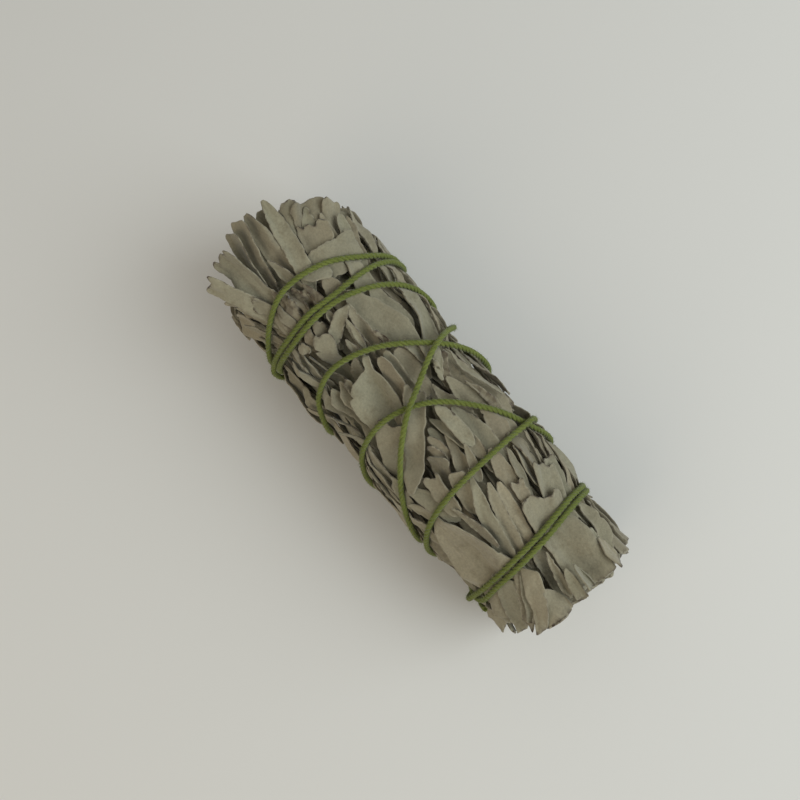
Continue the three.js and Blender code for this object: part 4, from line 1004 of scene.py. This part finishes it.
CRUMPLE, WRINKLE, CREASE = 0.6, 0.35, 0.9  # shares of the crinkles' height
MIDRIB_WIDTH, MIDRIB_FADE = 0.45, 0.6
TIP_LIFTS_FROM = 0.85


def crinkles_of(leaf, detail, crinkle, v, along, q):
    """The height of the leaf's own surface: crinkles, crushed folds, midrib and lifted tip."""
    height = CRUMPLE * detail.crumple(along, q) + WRINKLE * detail.wrinkle(along, q)
    height = crinkle * (height + CREASE * np.abs(detail.creased(along, q)))
    crushed = zigzag(detail.crushed(along, q)) + 0.5 * zigzag(detail.creased(q, along))
    height = height + leaf.crumpling * crushed
    height = height + detail.midrib * np.exp(-(q / MIDRIB_WIDTH) ** 2) * (1 - MIDRIB_FADE * v)
    return height + detail.tip_lift * ease(TIP_LIFTS_FROM, 1, v)


THINNEST_RIM = 0.06


def both_sides(middle, a, from_margin, thickness):
    """The leaf's upper and lower surface, which meet in a round margin."""
    normal = np.cross(np.gradient(middle, axis=0), np.gradient(middle, axis=1))
    length = np.linalg.norm(normal, axis=-1, keepdims=True)
    radial = np.stack([0 * a, np.sin(a), np.cos(a)], axis=-1)
    normal = np.where(length > TINY, normal / np.maximum(length, TINY), radial)
    inward = clamp(from_margin / (thickness / 2), 0, 1)
    rim = np.sqrt(clamp(1 - (1 - inward) ** 2, THINNEST_RIM, 1))
    offset = normal * (thickness / 2 * rim)[..., None]
    upper, lower = middle + offset, middle - offset
    for grid in (upper, lower):
        grid[..., 2] = np.maximum(grid[..., 2], GROUND_CLEARANCE)
    return upper, lower


RIM_WIDTH, TORN_WIDTH, CUT_BROWNING = 0.14, 0.3, 0.5  # how far in from it an edge is coloured: brown, and a pale rim that is partly painted highlight
# a low tint lowers a leaf's tone: partly its own colour, partly painted shade
TONE_OF_LEAF, TONE_OF_TINT = 0.14, 0.28
WARMTH_OF_TINT = 0.5
BROWN_TINT, BROWN_OF_TINT = -0.4, 0.6  # a tint below this is brown all over; on leaves in shadow this brown is partly painted shade


def look_of(leaf, detail, v, x, a, from_margin):
    """Four shares that the material reads: tone, warmth, rim and brown; the pale rim is partly painted
    highlight.
    """
    margin = np.exp(-from_margin / RIM_WIDTH)
    end = np.exp(-(1 - v) * leaf.length / TORN_WIDTH) * (leaf.tip_torn > 0)
    end = end + np.exp(-v * leaf.length / TORN_WIDTH) * (leaf.base_torn > 0)
    end = clamp(end + np.exp(-(x - cut_at(a)) / CUT_BROWNING), 0, 1)
    tone = clamp(0.5 + TONE_OF_LEAF * detail.tone + TONE_OF_TINT * leaf.tint, 0, 1)
    warmth = clamp(detail.warm - WARMTH_OF_TINT * leaf.tint, 0, 1)
    brown = clamp(end + detail.brown * margin + BROWN_OF_TINT * max(0, BROWN_TINT - leaf.tint), 0, 1)
    whole = np.ones(v.shape)
    return np.stack([tone * whole, warmth * whole, np.maximum(margin, end), brown], axis=-1)


UV_MM = 10  # one unit of the leaf's own UV map


def fine_leaf(leaf, detail, press, thickness, crinkle):
    """The leaf's upper and lower surface as grids of points, with its look and its place at each point."""
    u, v = grid_over(leaf)
    half = outline_of(leaf, detail, u, v)
    q, along = u * half, v * leaf.length
    x, a, up = leaf_point(leaf, u, v, half, torn_by(leaf, detail, u, v, q))
    x = cut_off(x, a)
    up = up + crinkles_of(leaf, detail, crinkle, v, along, q)
    middle = place_round(x, a, leaf_height(leaf, press, x, a, up, thickness))
    from_margin = (1 - np.abs(u)) * half
    upper, lower = both_sides(middle, a, from_margin, thickness)
    place = np.stack([q / UV_MM + 0.5, along / UV_MM + detail.place], axis=-1)
    return upper, lower, look_of(leaf, detail, v, x, a, from_margin), place


class Sheets:
    """Thin closed sheets gathered into one mesh."""

    def __init__(self):
        self.points, self.quads, self.looks, self.places = [], [], [], []
        self.size = 0

    def add(self, upper, lower, look, place):
        rows, columns = upper.shape[:2]
        top = self.size + np.arange(rows * columns).reshape(rows, columns)
        low = top + rows * columns
        self.size += 2 * rows * columns
        self.points += [upper.reshape(-1, 3), lower.reshape(-1, 3)]
        self.looks += [look.reshape(-1, 4)] * 2
        self.places += [place.reshape(-1, 2)] * 2

        def quad(*corners):
            self.quads.append(np.stack([corner.ravel() for corner in corners], axis=-1))

        quad(top[:-1, :-1], top[1:, :-1], top[1:, 1:], top[:-1, 1:])
        quad(low[:-1, :-1], low[:-1, 1:], low[1:, 1:], low[1:, :-1])
        quad(top[1:, 0], top[:-1, 0], low[:-1, 0], low[1:, 0])
        quad(top[:-1, -1], top[1:, -1], low[1:, -1], low[:-1, -1])
        quad(top[0, :-1], top[0, 1:], low[0, 1:], low[0, :-1])
        quad(top[-1, 1:], top[-1, :-1], low[-1, :-1], low[-1, 1:])

    def triangles(self):
        return 2 * sum(len(block) for block in self.quads)

    def made(self, name, material):
        mesh = mesh_of(name, np.concatenate(self.points), np.concatenate(self.quads))
        look = mesh.attributes.new("look", "FLOAT_COLOR", "POINT")
        look.data.foreach_set("color", np.concatenate(self.looks).astype(np.float32).ravel())
        place = np.concatenate(self.places)[np.concatenate(self.quads).ravel()]
        mesh.uv_layers.new(name="leaf").data.foreach_set("uv", place.astype(np.float32).ravel())
        return object_of(name, mesh, material)


def mesh_of(name, points, quads):
    """A mesh from points in mm and faces of four corners."""
    mesh = bpy.data.meshes.new(name)
    mesh.vertices.add(len(points))
    mesh.vertices.foreach_set("co", (points * MM).astype(np.float32).ravel())
    mesh.loops.add(quads.size)
    mesh.loops.foreach_set("vertex_index", quads.astype(np.int32).ravel())
    mesh.polygons.add(len(quads))
    mesh.polygons.foreach_set("loop_start", np.arange(0, quads.size, 4, dtype=np.int32))
    mesh.update(calc_edges=True)
    mesh.shade_smooth()
    return mesh


def object_of(name, mesh, material):
    mesh.materials.append(material)
    piece = bpy.data.objects.new(name, mesh)
    bpy.context.scene.collection.objects.link(piece)
    return piece


def declare(piece, node):
    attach(piece, "root")
    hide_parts(node)


MOST_FOLD, MOST_TILT = 0.35, 0.3  # slopes


def all_leaves():
    """Every leaf, laid and pressed, and what presses them to the body's radius."""
    draw, shape = draws_from(LEAF_SEED), draws_from(LOOSE_SEED)
    leaves = heart_leaves(draw) + coat_leaves(draw)
    for leaf in leaves:
        leaf.fold, leaf.tilt = MOST_FOLD * shape() ** 2, MOST_TILT * (shape() - 0.5)
    leaves += loose_leaves(shape)
    leaves += [seen_leaf(draw, seen) for seen in UPPER_LEAVES]
    leaves += [upper_leaf(draw, *listed) for listed in [UNDER_LEAF] + SIDE_LEAVES]
    press = press_of(lay_leaves(leaves))
    press_leaves(leaves, press, ceiling_under(string_line()))
    return leaves, press


# ---------------------------------------------------------------- node trees
class Tree:
    """Adds nodes to a tree. An input given as a socket is linked, and any other is set."""

    def __init__(self, tree):
        self.tree = tree

    def add(self, kind, inputs=(), **settings):
        node = self.tree.nodes.new(kind)
        for name, value in settings.items():
            setattr(node, name, value)
        for socket, value in dict(inputs).items():
            if isinstance(value, bpy.types.NodeSocket):
                self.tree.links.new(value, node.inputs[socket])
            else:
                node.inputs[socket].default_value = value
        return node

    def math(self, operation, one, two=0.0, three=0.0):
        return self.add("ShaderNodeMath", {0: one, 1: two, 2: three}, operation=operation).outputs[0]

    def vector_math(self, operation, inputs):
        return self.add("ShaderNodeVectorMath", inputs, operation=operation).outputs[0]

    def blend(self, share, one, two, how="MIX"):
        node = self.add("ShaderNodeMix", {0: share, 6: one, 7: two}, data_type="RGBA", blend_type=how)
        return node.outputs[2]

    def place(self):
        return self.add("ShaderNodeTexCoord").outputs["Object"]

    def attribute(self, name):
        return self.add("ShaderNodeAttribute", attribute_name=name).outputs

    def noise(self, vector, scale, detail=2.0, rough=0.5):
        inputs = {"Vector": vector, "Scale": scale, "Detail": detail, "Roughness": rough}
        return self.add("ShaderNodeTexNoise", inputs).outputs[0]

    def span(self, value, low, high, to=(0.0, 1.0)):
        inputs = {"Value": value, "From Min": low, "From Max": high, "To Min": to[0], "To Max": to[1]}
        return self.add("ShaderNodeMapRange", inputs).outputs[0]

    def stored(self, name, geometry, value, kind="FLOAT"):
        inputs = {"Geometry": geometry, "Name": name, "Value": value}
        settings = {"data_type": kind, "domain": "POINT"}
        return self.add("GeometryNodeStoreNamedAttribute", inputs, **settings).outputs[0]

    def random(self, low, high, **more):
        inputs = {2: low, 3: high, **more}
        return self.add("FunctionNodeRandomValue", inputs, data_type="FLOAT").outputs[1]


def rgba(colour):
    return (*colour, 1.0)


def finish_of(**values):
    """Plain values of the shader, given by short names."""
    sockets = {
        "roughness": "Roughness", "specular": "Specular IOR Level",
        "sheen": "Sheen Weight", "sheen_roughness": "Sheen Roughness",
    }
    return {sockets[name]: value for name, value in values.items()}


def shaded(name, colours, finish):
    """A material. `colours` gives its colour from a tree, and a bump where it has one."""
    material = bpy.data.materials.new(name)
    material.use_nodes = True
    tree = Tree(material.node_tree)
    shader = material.node_tree.nodes["Principled BSDF"]
    colour, bump = colours(tree)
    tree.tree.links.new(colour, shader.inputs["Base Color"])
    if bump:
        tree.tree.links.new(tree.add("ShaderNodeBump", bump).outputs[0], shader.inputs["Normal"])
    for socket, value in finish.items():
        shader.inputs[socket].default_value = value
    return material


def bump_of(height, strength, millimetres):
    return {"Height": height, "Strength": strength, "Distance": millimetres * MM}


def felted_leaf(settings):
    def colours(tree):
        where = tree.place()
        look = tree.attribute("look")
        tone, warm, rim = tree.add("ShaderNodeSeparateColor", {0: look["Color"]}).outputs
        brown = look["Alpha"]
        mottle = tree.noise(where, scale=230, detail=4.0, rough=0.6)
        felt = tree.noise(where, scale=2200, detail=4.0, rough=0.7)
        pebbled = tree.noise(where, scale=900, detail=2.0, rough=0.6)
        fuzz = tree.noise(where, scale=5200, detail=2.0, rough=0.6)
        colour = tree.blend(warm, rgba(settings.cool_colour), rgba(settings.warm_colour))
        # a leaf's tone: random, and lower on leaves darkened as painted shade
        leaf_shade = tree.span(tone, 0, 1, to=(0.78, 1.24))
        shade = tree.math("MULTIPLY", leaf_shade, tree.span(mottle, 0.3, 0.7, to=(0.92, 1.08)))
        shade = tree.math("MULTIPLY", shade, tree.span(felt, 0.25, 0.75, to=(0.82, 1.18)))
        grey = tree.add("ShaderNodeCombineColor", {0: shade, 1: shade, 2: shade}).outputs[0]
        colour = tree.blend(1.0, colour, grey, "MULTIPLY")
        stain = tree.span(tree.noise(where, scale=420, detail=3.0, rough=0.65), 0.56, 0.72, to=(0.0, 0.45))
        colour = tree.blend(stain, colour, rgba(settings.stain_colour))
        # pale margins: partly the paler felt of the leaf, partly painted highlight on edges that catch the
        # light
        colour = tree.blend(tree.math("MULTIPLY", rim, 0.5), colour, rgba(settings.rim_and_highlight_colour))
        patches = tree.span(tree.noise(where, scale=900), 0.42, 0.6)
        colour = tree.blend(tree.math("MULTIPLY", brown, patches), colour, rgba(settings.torn_colour))
        heights = tree.math("MULTIPLY_ADD", fuzz, 0.5, felt)
        heights = tree.math("MULTIPLY_ADD", pebbled, 1.6, heights)
        return colour, bump_of(heights, 0.75, 0.12)

    finish = finish_of(roughness=0.92, specular=0.2, sheen=0.25, sheen_roughness=0.55)
    return shaded("felted_leaf", colours, finish)


def cotton(settings):
    def colours(tree):
        far = tree.math("MULTIPLY", tree.attribute("far")["Fac"], 500.0)
        round_ = tree.math("MULTIPLY", tree.attribute("round")["Fac"], 14.0)
        fibre = tree.add("ShaderNodeCombineXYZ", {0: far, 1: round_}).outputs[0]
        strands = tree.noise(fibre, scale=1.0, detail=3.0, rough=0.6)
        patches = tree.span(tree.noise(tree.place(), scale=160), 0.25, 0.75, to=(0.6, 1.0))
        share = tree.math("MULTIPLY", tree.span(strands, 0.25, 0.75), patches)
        colour = tree.blend(share, rgba(settings.deep_colour), rgba(settings.light_colour))
        return colour, bump_of(strands, 0.6, 0.08)

    finish = finish_of(roughness=0.85, specular=0.25, sheen=0.25, sheen_roughness=0.4)
    return shaded("green_cotton", colours, finish)


def dry_wood(settings):
    def colours(tree):
        drawn_out = {"Vector": tree.place(), "Scale": (0.12, 1.0, 1.0)}
        along = tree.add("ShaderNodeMapping", drawn_out).outputs[0]
        grain = tree.noise(along, scale=2200, detail=4.0, rough=0.65)
        colour = tree.blend(grain, rgba(settings.bark_dark), rgba(settings.bark_light))
        grained = tree.span(grain, 0.2, 0.8, to=(0.7, 1.0))
        pith = tree.math("MULTIPLY", tree.attribute("pith")["Fac"], grained)
        colour = tree.blend(pith, colour, rgba(settings.pith_colour))
        return colour, bump_of(grain, 0.7, 0.12)

    return shaded("dry_wood", colours, finish_of(roughness=0.85, specular=0.2))


FLOOR_MOTTLE = 0.985  # how dark the floor's patches are


def plain_floor(settings):
    def colours(tree):
        low = tuple(FLOOR_MOTTLE * c for c in settings.floor_colour)
        mottle = tree.noise(tree.place(), scale=14)
        return tree.blend(mottle, rgba(low), rgba(settings.floor_colour)), None

    return shaded("plain_floor", colours, finish_of(roughness=0.9, specular=0.1))


# ---------------------------------------------------------------- the twisted string
PLIES = 3
PLY_SIDES = 6
PLY_SHARE = 0.34  # a ply's radius over the string's diameter
PLY_TEXTURE = 1.7  # how far one ply's texture is from the next
STRING_STEP = 0.5
FIBRE_RADIUS = 0.018
FIBRES_PER_AREA = 2_600_000.0  # on a square metre
FIBRE_LEAN = 1.6  # along the string, over how far it stands out
FIBRE_SIZE = (0.4, 1.0)  # shares of the longest
STRING_INPUTS = {
    "Geometry": "NodeSocketGeometry", "Ply Radius": "NodeSocketFloat", "Ply Offset": "NodeSocketFloat",
    "Twist Pitch": "NodeSocketFloat", "Step": "NodeSocketFloat", "Fibres per Area": "NodeSocketFloat",
    "Fibre Length": "NodeSocketFloat", "Seed": "NodeSocketInt", "Material": "NodeSocketMaterial",
}


def twisted_line(tree, given):
    """The string's line, turned as it is twisted, with its length and heading stored on it."""
    line = tree.add("GeometryNodeMeshToCurve", {0: given["Geometry"]}).outputs[0]
    spaced = {"Curve": line, "Length": given["Step"]}
    line = tree.add("GeometryNodeResampleCurve", spaced, mode="LENGTH").outputs[0]
    length = tree.add("GeometryNodeSplineParameter").outputs["Length"]
    tilt = tree.math("DIVIDE", tree.math("MULTIPLY", length, TURN), given["Twist Pitch"])
    line = tree.add("GeometryNodeSetCurveTilt", {"Curve": line, "Tilt": tilt}).outputs[0]
    line = tree.stored("far", line, length)
    tangent = tree.add("GeometryNodeInputTangent").outputs[0]
    return tree.stored("heading", line, tangent, "FLOAT_VECTOR")


def ply_section(tree, given):
    """The circles that the plies are swept from."""
    plies = tree.add("GeometryNodeJoinGeometry")
    for k in range(PLIES):
        size = {"Resolution": PLY_SIDES, "Radius": given["Ply Radius"]}
        circle = tree.add("GeometryNodeCurvePrimitiveCircle", size).outputs[0]
        corner = TURN * k / PLIES
        outwards = (math.cos(corner), math.sin(corner), 0)
        aside = tree.vector_math("SCALE", {0: outwards, "Scale": given["Ply Offset"]})
        circle = tree.add("GeometryNodeSetPosition", {"Geometry": circle, "Offset": aside}).outputs[0]
        share = tree.add("GeometryNodeSplineParameter").outputs["Factor"]
        circle = tree.stored("round", circle, tree.math("ADD", share, PLY_TEXTURE * k))
        tree.tree.links.new(circle, plies.inputs[0])
    return plies.outputs[0]


def loose_fibres(tree, given, body):
    """Fine fibres that stand out of the string and lean along it."""
    density = {"Mesh": body, "Density": given["Fibres per Area"], "Seed": given["Seed"]}
    spots = tree.add("GeometryNodeDistributePointsOnFaces", density, distribute_method="RANDOM").outputs
    size = {"Vertices": 3, "Radius Top": 0.0, "Radius Bottom": FIBRE_RADIUS * MM}
    fibre = tree.add("GeometryNodeMeshCone", {**size, "Depth": given["Fibre Length"]}).outputs[0]
    named = {"Name": "heading"}
    heading = tree.add("GeometryNodeInputNamedAttribute", named, data_type="FLOAT_VECTOR").outputs[0]
    lean = tree.random(-FIBRE_LEAN, FIBRE_LEAN, Seed=given["Seed"])
    along = tree.vector_math("SCALE", {0: heading, "Scale": lean})
    out = tree.vector_math("ADD", {0: spots["Normal"], 1: along})
    turn = tree.add("FunctionNodeAlignRotationToVector", {"Vector": out}, axis="Z").outputs[0]
    return tree.add("GeometryNodeInstanceOnPoints", {
        "Points": spots["Points"], "Instance": fibre, "Rotation": turn, "Scale": tree.random(*FIBRE_SIZE),
    }).outputs[0]


def kept_over_floor(tree, geometry):
    spot = tree.add("ShaderNodeSeparateXYZ", {0: tree.add("GeometryNodeInputPosition").outputs[0]}).outputs
    height = tree.math("MAXIMUM", spot["Z"], 0.0)
    spot = tree.add("ShaderNodeCombineXYZ", {"X": spot["X"], "Y": spot["Y"], "Z": height}).outputs[0]
    return tree.add("GeometryNodeSetPosition", {"Geometry": geometry, "Position": spot}).outputs[0]


def string_tree():
    """Geometry nodes that twist plies along a line and stand fine fibres on them."""
    group = bpy.data.node_groups.new("twisted_string", "GeometryNodeTree")
    for name, kind in STRING_INPUTS.items():
        group.interface.new_socket(name, in_out="INPUT", socket_type=kind)
    group.interface.new_socket("Geometry", in_out="OUTPUT", socket_type="NodeSocketGeometry")
    tree = Tree(group)
    given = tree.add("NodeGroupInput").outputs
    swept = {"Curve": twisted_line(tree, given), "Profile Curve": ply_section(tree, given)}
    body = tree.add("GeometryNodeCurveToMesh", {**swept, "Fill Caps": True}).outputs[0]
    body = tree.add("GeometryNodeSetShadeSmooth", {"Geometry": body}).outputs[0]
    joined = tree.add("GeometryNodeJoinGeometry")
    for part in (loose_fibres(tree, given, body), body):
        group.links.new(part, joined.inputs[0])
    real = tree.add("GeometryNodeRealizeInstances", {0: joined.outputs[0]}).outputs[0]
    real = kept_over_floor(tree, real)
    done = tree.add("GeometryNodeSetMaterial", {"Geometry": real, "Material": given["Material"]}).outputs[0]
    tree.add("NodeGroupOutput", {0: done})
    return group


def with_nodes(piece, group, values):
    """Runs a node group on a piece, and leaves its result as a plain mesh on the same object."""
    modifier = piece.modifiers.new("made", "NODES")
    modifier.node_group = group
    for item in group.interface.items_tree:
        if item.in_out == "INPUT" and item.name in values:
            modifier[item.identifier] = values[item.name]
    piece.update_tag()
    graph = bpy.context.evaluated_depsgraph_get()
    mesh = bpy.data.meshes.new_from_object(piece.evaluated_get(graph))
    piece.modifiers.remove(modifier)
    piece.data = mesh


# ---------------------------------------------------------------- stems
STEM_RINGS = 40
STEM_CORNERS = 32
STEM_SQUARENESS = 4.5  # the exponent of the section's outline
STEM_FURROWS = 0.035  # share of the width
FURROW_WIDTH, FURROW_STRETCH = 0.6, 18
CUT_FACE_ROUGHNESS = 0.05
CUT_EDGE_BACK = 0.08  # how far the edge of the cut face stands back
BARK_FROM = 0.3  # where the bark starts behind the cut face
CUT_FACE_RINGS = [
    # share of the width, how much pith shows there
    (0.0, 1.0), (0.25, 1.0), (0.5, 1.0), (0.75, 0.5), (0.92, 0.15), (1.0, 0.15),
]
INNER_END_RINGS = (0.6, 0.0)
INNER_END_PITH = 0.3


def stem_points(rng, distance, degrees, width, roll, stands_out):
    """A square stem with soft corners, furrowed sides and a rough cut face."""
    round_ = np.arange(STEM_CORNERS) * TURN / STEM_CORNERS
    power = STEM_SQUARENESS
    square = (np.abs(np.cos(round_)) ** power + np.abs(np.sin(round_)) ** power) ** (-1 / power)
    furrow = waves(rng, FURROW_WIDTH, stretch=FURROW_STRETCH)
    start, end = CUT_END - stands_out, CUT_END - stands_out + STEM_LENGTH
    rows, pith = [], []
    for share, shown in CUT_FACE_RINGS:
        rough = CUT_FACE_ROUGHNESS * furrow(round_ * 3, np.full(STEM_CORNERS, share * 4)) * (share < 1)
        rows.append((start + rough + CUT_EDGE_BACK * (share == 1), share * square))
        pith.append(shown)
    for x in np.linspace(start + BARK_FROM, end, STEM_RINGS):
        cut = 1 + STEM_FURROWS * furrow(np.full(STEM_CORNERS, x), round_ * 4)
        rows.append((np.full(STEM_CORNERS, x), square * cut))
        pith.append(0.0)
    for share in INNER_END_RINGS:
        rows.append((np.full(STEM_CORNERS, end), share * square))
        pith.append(INNER_END_PITH)
    _, middle_y, middle_z = place_round(0.0, degrees * DEGREE, distance)
    turned = round_ - roll * DEGREE
    points = []
    for x, r in rows:
        y = middle_y + r * width / 2 * np.cos(turned)
        z = middle_z + r * width / 2 * np.sin(turned)
        points.append(np.stack([x, y, z], -1))
    return np.stack(points), np.array(pith)


def stem_mesh(name, points, pith):
    rows, corners = points.shape[:2]
    index = np.arange(rows * corners).reshape(rows, corners)
    ahead = np.roll(index, -1, axis=1)
    quads = np.stack([index[:-1], index[1:], ahead[1:], ahead[:-1]], axis=-1).reshape(-1, 4)
    mesh = mesh_of(name, points.reshape(-1, 3), quads[:, ::-1])
    values = np.repeat(pith, corners).astype(np.float32)
    mesh.attributes.new("pith", "FLOAT", "POINT").data.foreach_set("value", values)
    return mesh


# ---------------------------------------------------------------- what a user would change
def length_of(name, description, default):
    return FloatProperty(name=name, description=description, default=default, unit="LENGTH", precision=5)


def power_of(name, description, default):
    return FloatProperty(name=name, description=description, default=default, unit="POWER")


def seed_of(description, default):
    return IntProperty(name="Seed", description=description, default=default)


def colour_of(name, description, default):
    kind = {"subtype": "COLOR", "size": 3, "min": 0.0, "max": 1.0}
    return FloatVectorProperty(name=name, description=description, default=default, **kind)


class SageLeafSettings(bpy.types.PropertyGroup):
    thickness: length_of("Thickness", "Thickness of a dried leaf", 0.00032)
    crinkle: length_of("Crinkle", "Height of the crinkles in a leaf", 0.00016)
    seed: seed_of("Seed of the leaves' own detail", 7)
    cool_colour: colour_of("Cool", "Colour of the greener leaves", (0.244, 0.230, 0.158))
    warm_colour: colour_of("Warm", "Colour of the browner leaves", (0.257, 0.225, 0.150))
    stain_colour: colour_of("Stain", "Colour of dull patches", (0.150, 0.125, 0.072))
    # the pale margin colour is partly painted highlight
    rim_and_highlight_colour: colour_of("Rim", "Colour of the leaf margins", (0.330, 0.305, 0.220))
    torn_colour: colour_of("Torn", "Colour of torn and cut edges", (0.060, 0.040, 0.024))


class SageStringSettings(bpy.types.PropertyGroup):
    diameter: length_of("Diameter", "Diameter over the twisted plies", STRING_DIAMETER * MM)
    pitch: length_of("Twist pitch", "Length of one turn of the twist", 0.0034)
    fibre_length: length_of("Fibre length", "Length of the longest loose fibre", 0.0009)
    seed: seed_of("Seed of the loose fibres", 3)
    deep_colour: colour_of("Deep", "Colour between the fibres", (0.098, 0.125, 0.022))
    light_colour: colour_of("Light", "Colour of the fibres", (0.220, 0.252, 0.060))


class SageStemSettings(bpy.types.PropertyGroup):
    seed: seed_of("Seed of the furrows", 5)
    bark_dark: colour_of("Dark bark", "Colour of the furrows", (0.085, 0.055, 0.034))
    bark_light: colour_of("Light bark", "Colour of the bark", (0.235, 0.180, 0.115))
    pith_colour: colour_of("Pith", "Colour of the cut pith", (0.420, 0.350, 0.235))


class SageStageSettings(bpy.types.PropertyGroup):
    floor_colour: colour_of("Floor", "Colour of the floor", (0.675, 0.672, 0.640))
    warm_power: power_of("Warm light", "Power of the warm light", 0.9)
    cool_power: power_of("Cool light", "Power of the cool light", 2.2)
    ambient: FloatProperty(name="Ambient", description="Strength of the light all round", default=0.39)


# ---------------------------------------------------------------- operators
class SAGE_OT_leaves(bpy.types.Operator):
    """Lay, press and make every leaf of the bunch"""

    bl_idname = "sage.leaves"
    bl_label = "Leaves"

    def execute(self, context):
        settings = context.scene.sage_leaves
        leaves, press = all_leaves()
        rng = np.random.default_rng(settings.seed)
        material = felted_leaf(settings)
        groups = {}
        for leaf in leaves:
            made = fine_leaf(leaf, detail_of(rng), press, settings.thickness / MM, settings.crinkle / MM)
            sheets = groups.setdefault(leaf.name, [Sheets()])
            if sheets[-1].triangles() + 4 * made[0][..., 0].size > PIECE_TRIANGLES:
                sheets.append(Sheets())
            sheets[-1].add(*made)
        for name, sheets in groups.items():
            for k, gathered in enumerate(sheets):
                piece = gathered.made(f"{name}_leaves_{k + 1}", material)
                declare(piece, "leaf_bundle")
        return {"FINISHED"}


class SAGE_OT_string(bpy.types.Operator):
    """Twist the string's plies along its route round the bunch"""

    bl_idname = "sage.string"
    bl_label = "String"

    def execute(self, context):
        settings = context.scene.sage_string
        line = string_line()
        points = place_round(line.x, line.a, line.r)
        mesh = bpy.data.meshes.new("string_line")
        edges = [(k, k + 1) for k in range(len(points) - 1)]
        mesh.from_pydata((points * MM).tolist(), edges, [])
        piece = bpy.data.objects.new("cotton_string", mesh)
        context.scene.collection.objects.link(piece)
        ply = settings.diameter * PLY_SHARE
        with_nodes(piece, string_tree(), {
            "Ply Radius": ply, "Ply Offset": settings.diameter / 2 - ply,
            "Twist Pitch": settings.pitch, "Step": STRING_STEP * MM,
            "Fibres per Area": FIBRES_PER_AREA, "Fibre Length": settings.fibre_length,
            "Seed": settings.seed, "Material": cotton(settings),
        })
        declare(piece, "binding_string")
        return {"FINISHED"}


class SAGE_OT_stems(bpy.types.Operator):
    """Make the cut stems that stand among the leaves"""

    bl_idname = "sage.stems"
    bl_label = "Stems"

    def execute(self, context):
        settings = context.scene.sage_stems
        rng = np.random.default_rng(settings.seed)
        material = dry_wood(settings)
        for k, stem in enumerate(STEMS):
            name = f"cut_stem_{k + 1}"
            piece = object_of(name, stem_mesh(name, *stem_points(rng, *stem)), material)
            declare(piece, f"stem_{k + 1}")
        return {"FINISHED"}


# The stage, in metres
FLOOR_SIZE = 1.6
CLIP_START = 0.01
AMBIENT_COLOUR = (1.0, 0.980, 0.945)
Lamp = namedtuple("Lamp", "towards distance size colour")
WARM_LIGHT = Lamp(towards=(-0.10, 0.95, 0.70), distance=0.6, size=0.45, colour=(1.0, 0.86, 0.67))
COOL_LIGHT = Lamp(towards=(-0.75, -0.75, 1.0), distance=0.56, size=0.50, colour=(0.90, 0.97, 1.0))


def area_light(name, lamp, power):
    """A square soft light that faces the bunch."""
    data = bpy.data.lights.new(name, "AREA")
    data.shape, data.size, data.energy, data.color = "SQUARE", lamp.size, power, lamp.colour
    light = bpy.data.objects.new(name, data)
    back = Vector(lamp.towards).normalized()
    light.location = back * lamp.distance
    light.rotation_mode = "QUATERNION"
    light.rotation_quaternion = back.to_track_quat("Z", "Y")
    bpy.context.scene.collection.objects.link(light)


def floor_mesh():
    half = FLOOR_SIZE / 2 / MM
    corners = np.array([[-half, -half, 0], [half, -half, 0], [half, half, 0], [-half, half, 0]])
    return mesh_of("floor", corners, np.array([[0, 1, 2, 3]]))


def soft_world(strength):
    world = bpy.data.worlds.new("soft_light")
    world.use_nodes = True
    background = world.node_tree.nodes["Background"]
    background.inputs["Color"].default_value = rgba(AMBIENT_COLOUR)
    background.inputs["Strength"].default_value = strength
    return world


def view_camera():
    """The camera that the upper leaves are placed for."""
    data = bpy.data.cameras.new("camera")
    data.lens = VIEW_FOCUS / VIEW_PIXELS * data.sensor_width
    data.clip_start = CLIP_START
    camera = bpy.data.objects.new("camera", data)
    turn = Matrix((VIEW_RIGHT, VIEW_UP, VIEW_BACK)).transposed()
    camera.matrix_world = Matrix.Translation(VIEW_PLACE * MM) @ turn.to_4x4()
    bpy.context.scene.collection.objects.link(camera)
    return camera


class SAGE_OT_stage(bpy.types.Operator):
    """Set the floor, the soft lights and the camera"""

    bl_idname = "sage.stage"
    bl_label = "Stage"

    def execute(self, context):
        settings = context.scene.sage_stage
        floor = object_of("floor", floor_mesh(), plain_floor(settings))
        area_light("warm_light", WARM_LIGHT, settings.warm_power)
        area_light("cool_light", COOL_LIGHT, settings.cool_power)
        context.scene.world = soft_world(settings.ambient)
        context.scene.view_settings.view_transform = "Standard"
        context.scene.camera = view_camera()
        return {"FINISHED"}


class SAGE_PT_bunch(bpy.types.Panel):
    bl_idname = "SAGE_PT_bunch"
    bl_label = "Sage Bunch"
    bl_space_type = "VIEW_3D"
    bl_region_type = "UI"
    bl_category = "Sage Bunch"

    def draw(self, context):
        for operator, settings in PIECES:
            box = self.layout.box()
            box.operator(operator)
            group = getattr(context.scene, settings)
            for name in group.__annotations__:
                box.prop(group, name)


PIECES = [
    ("sage.leaves", "sage_leaves"),
    ("sage.string", "sage_string"),
    ("sage.stems", "sage_stems"),
    ("sage.stage", "sage_stage"),
]
SETTINGS = {
    "sage_leaves": SageLeafSettings,
    "sage_string": SageStringSettings,
    "sage_stems": SageStemSettings,
    "sage_stage": SageStageSettings,
}
CLASSES = (*SETTINGS.values(), SAGE_OT_leaves, SAGE_OT_string, SAGE_OT_stems, SAGE_OT_stage, SAGE_PT_bunch)


def register():
    for cls in CLASSES:
        bpy.utils.register_class(cls)
    for name, cls in SETTINGS.items():
        setattr(bpy.types.Scene, name, PointerProperty(type=cls))


def unregister():
    for name in SETTINGS:
        delattr(bpy.types.Scene, name)
    for cls in reversed(CLASSES):
        bpy.utils.unregister_class(cls)


def main():
    register()
    bpy.ops.sage.leaves()
    bpy.ops.sage.string()
    bpy.ops.sage.stems()
    bpy.ops.sage.stage()


if __name__ == "__main__":
    main()
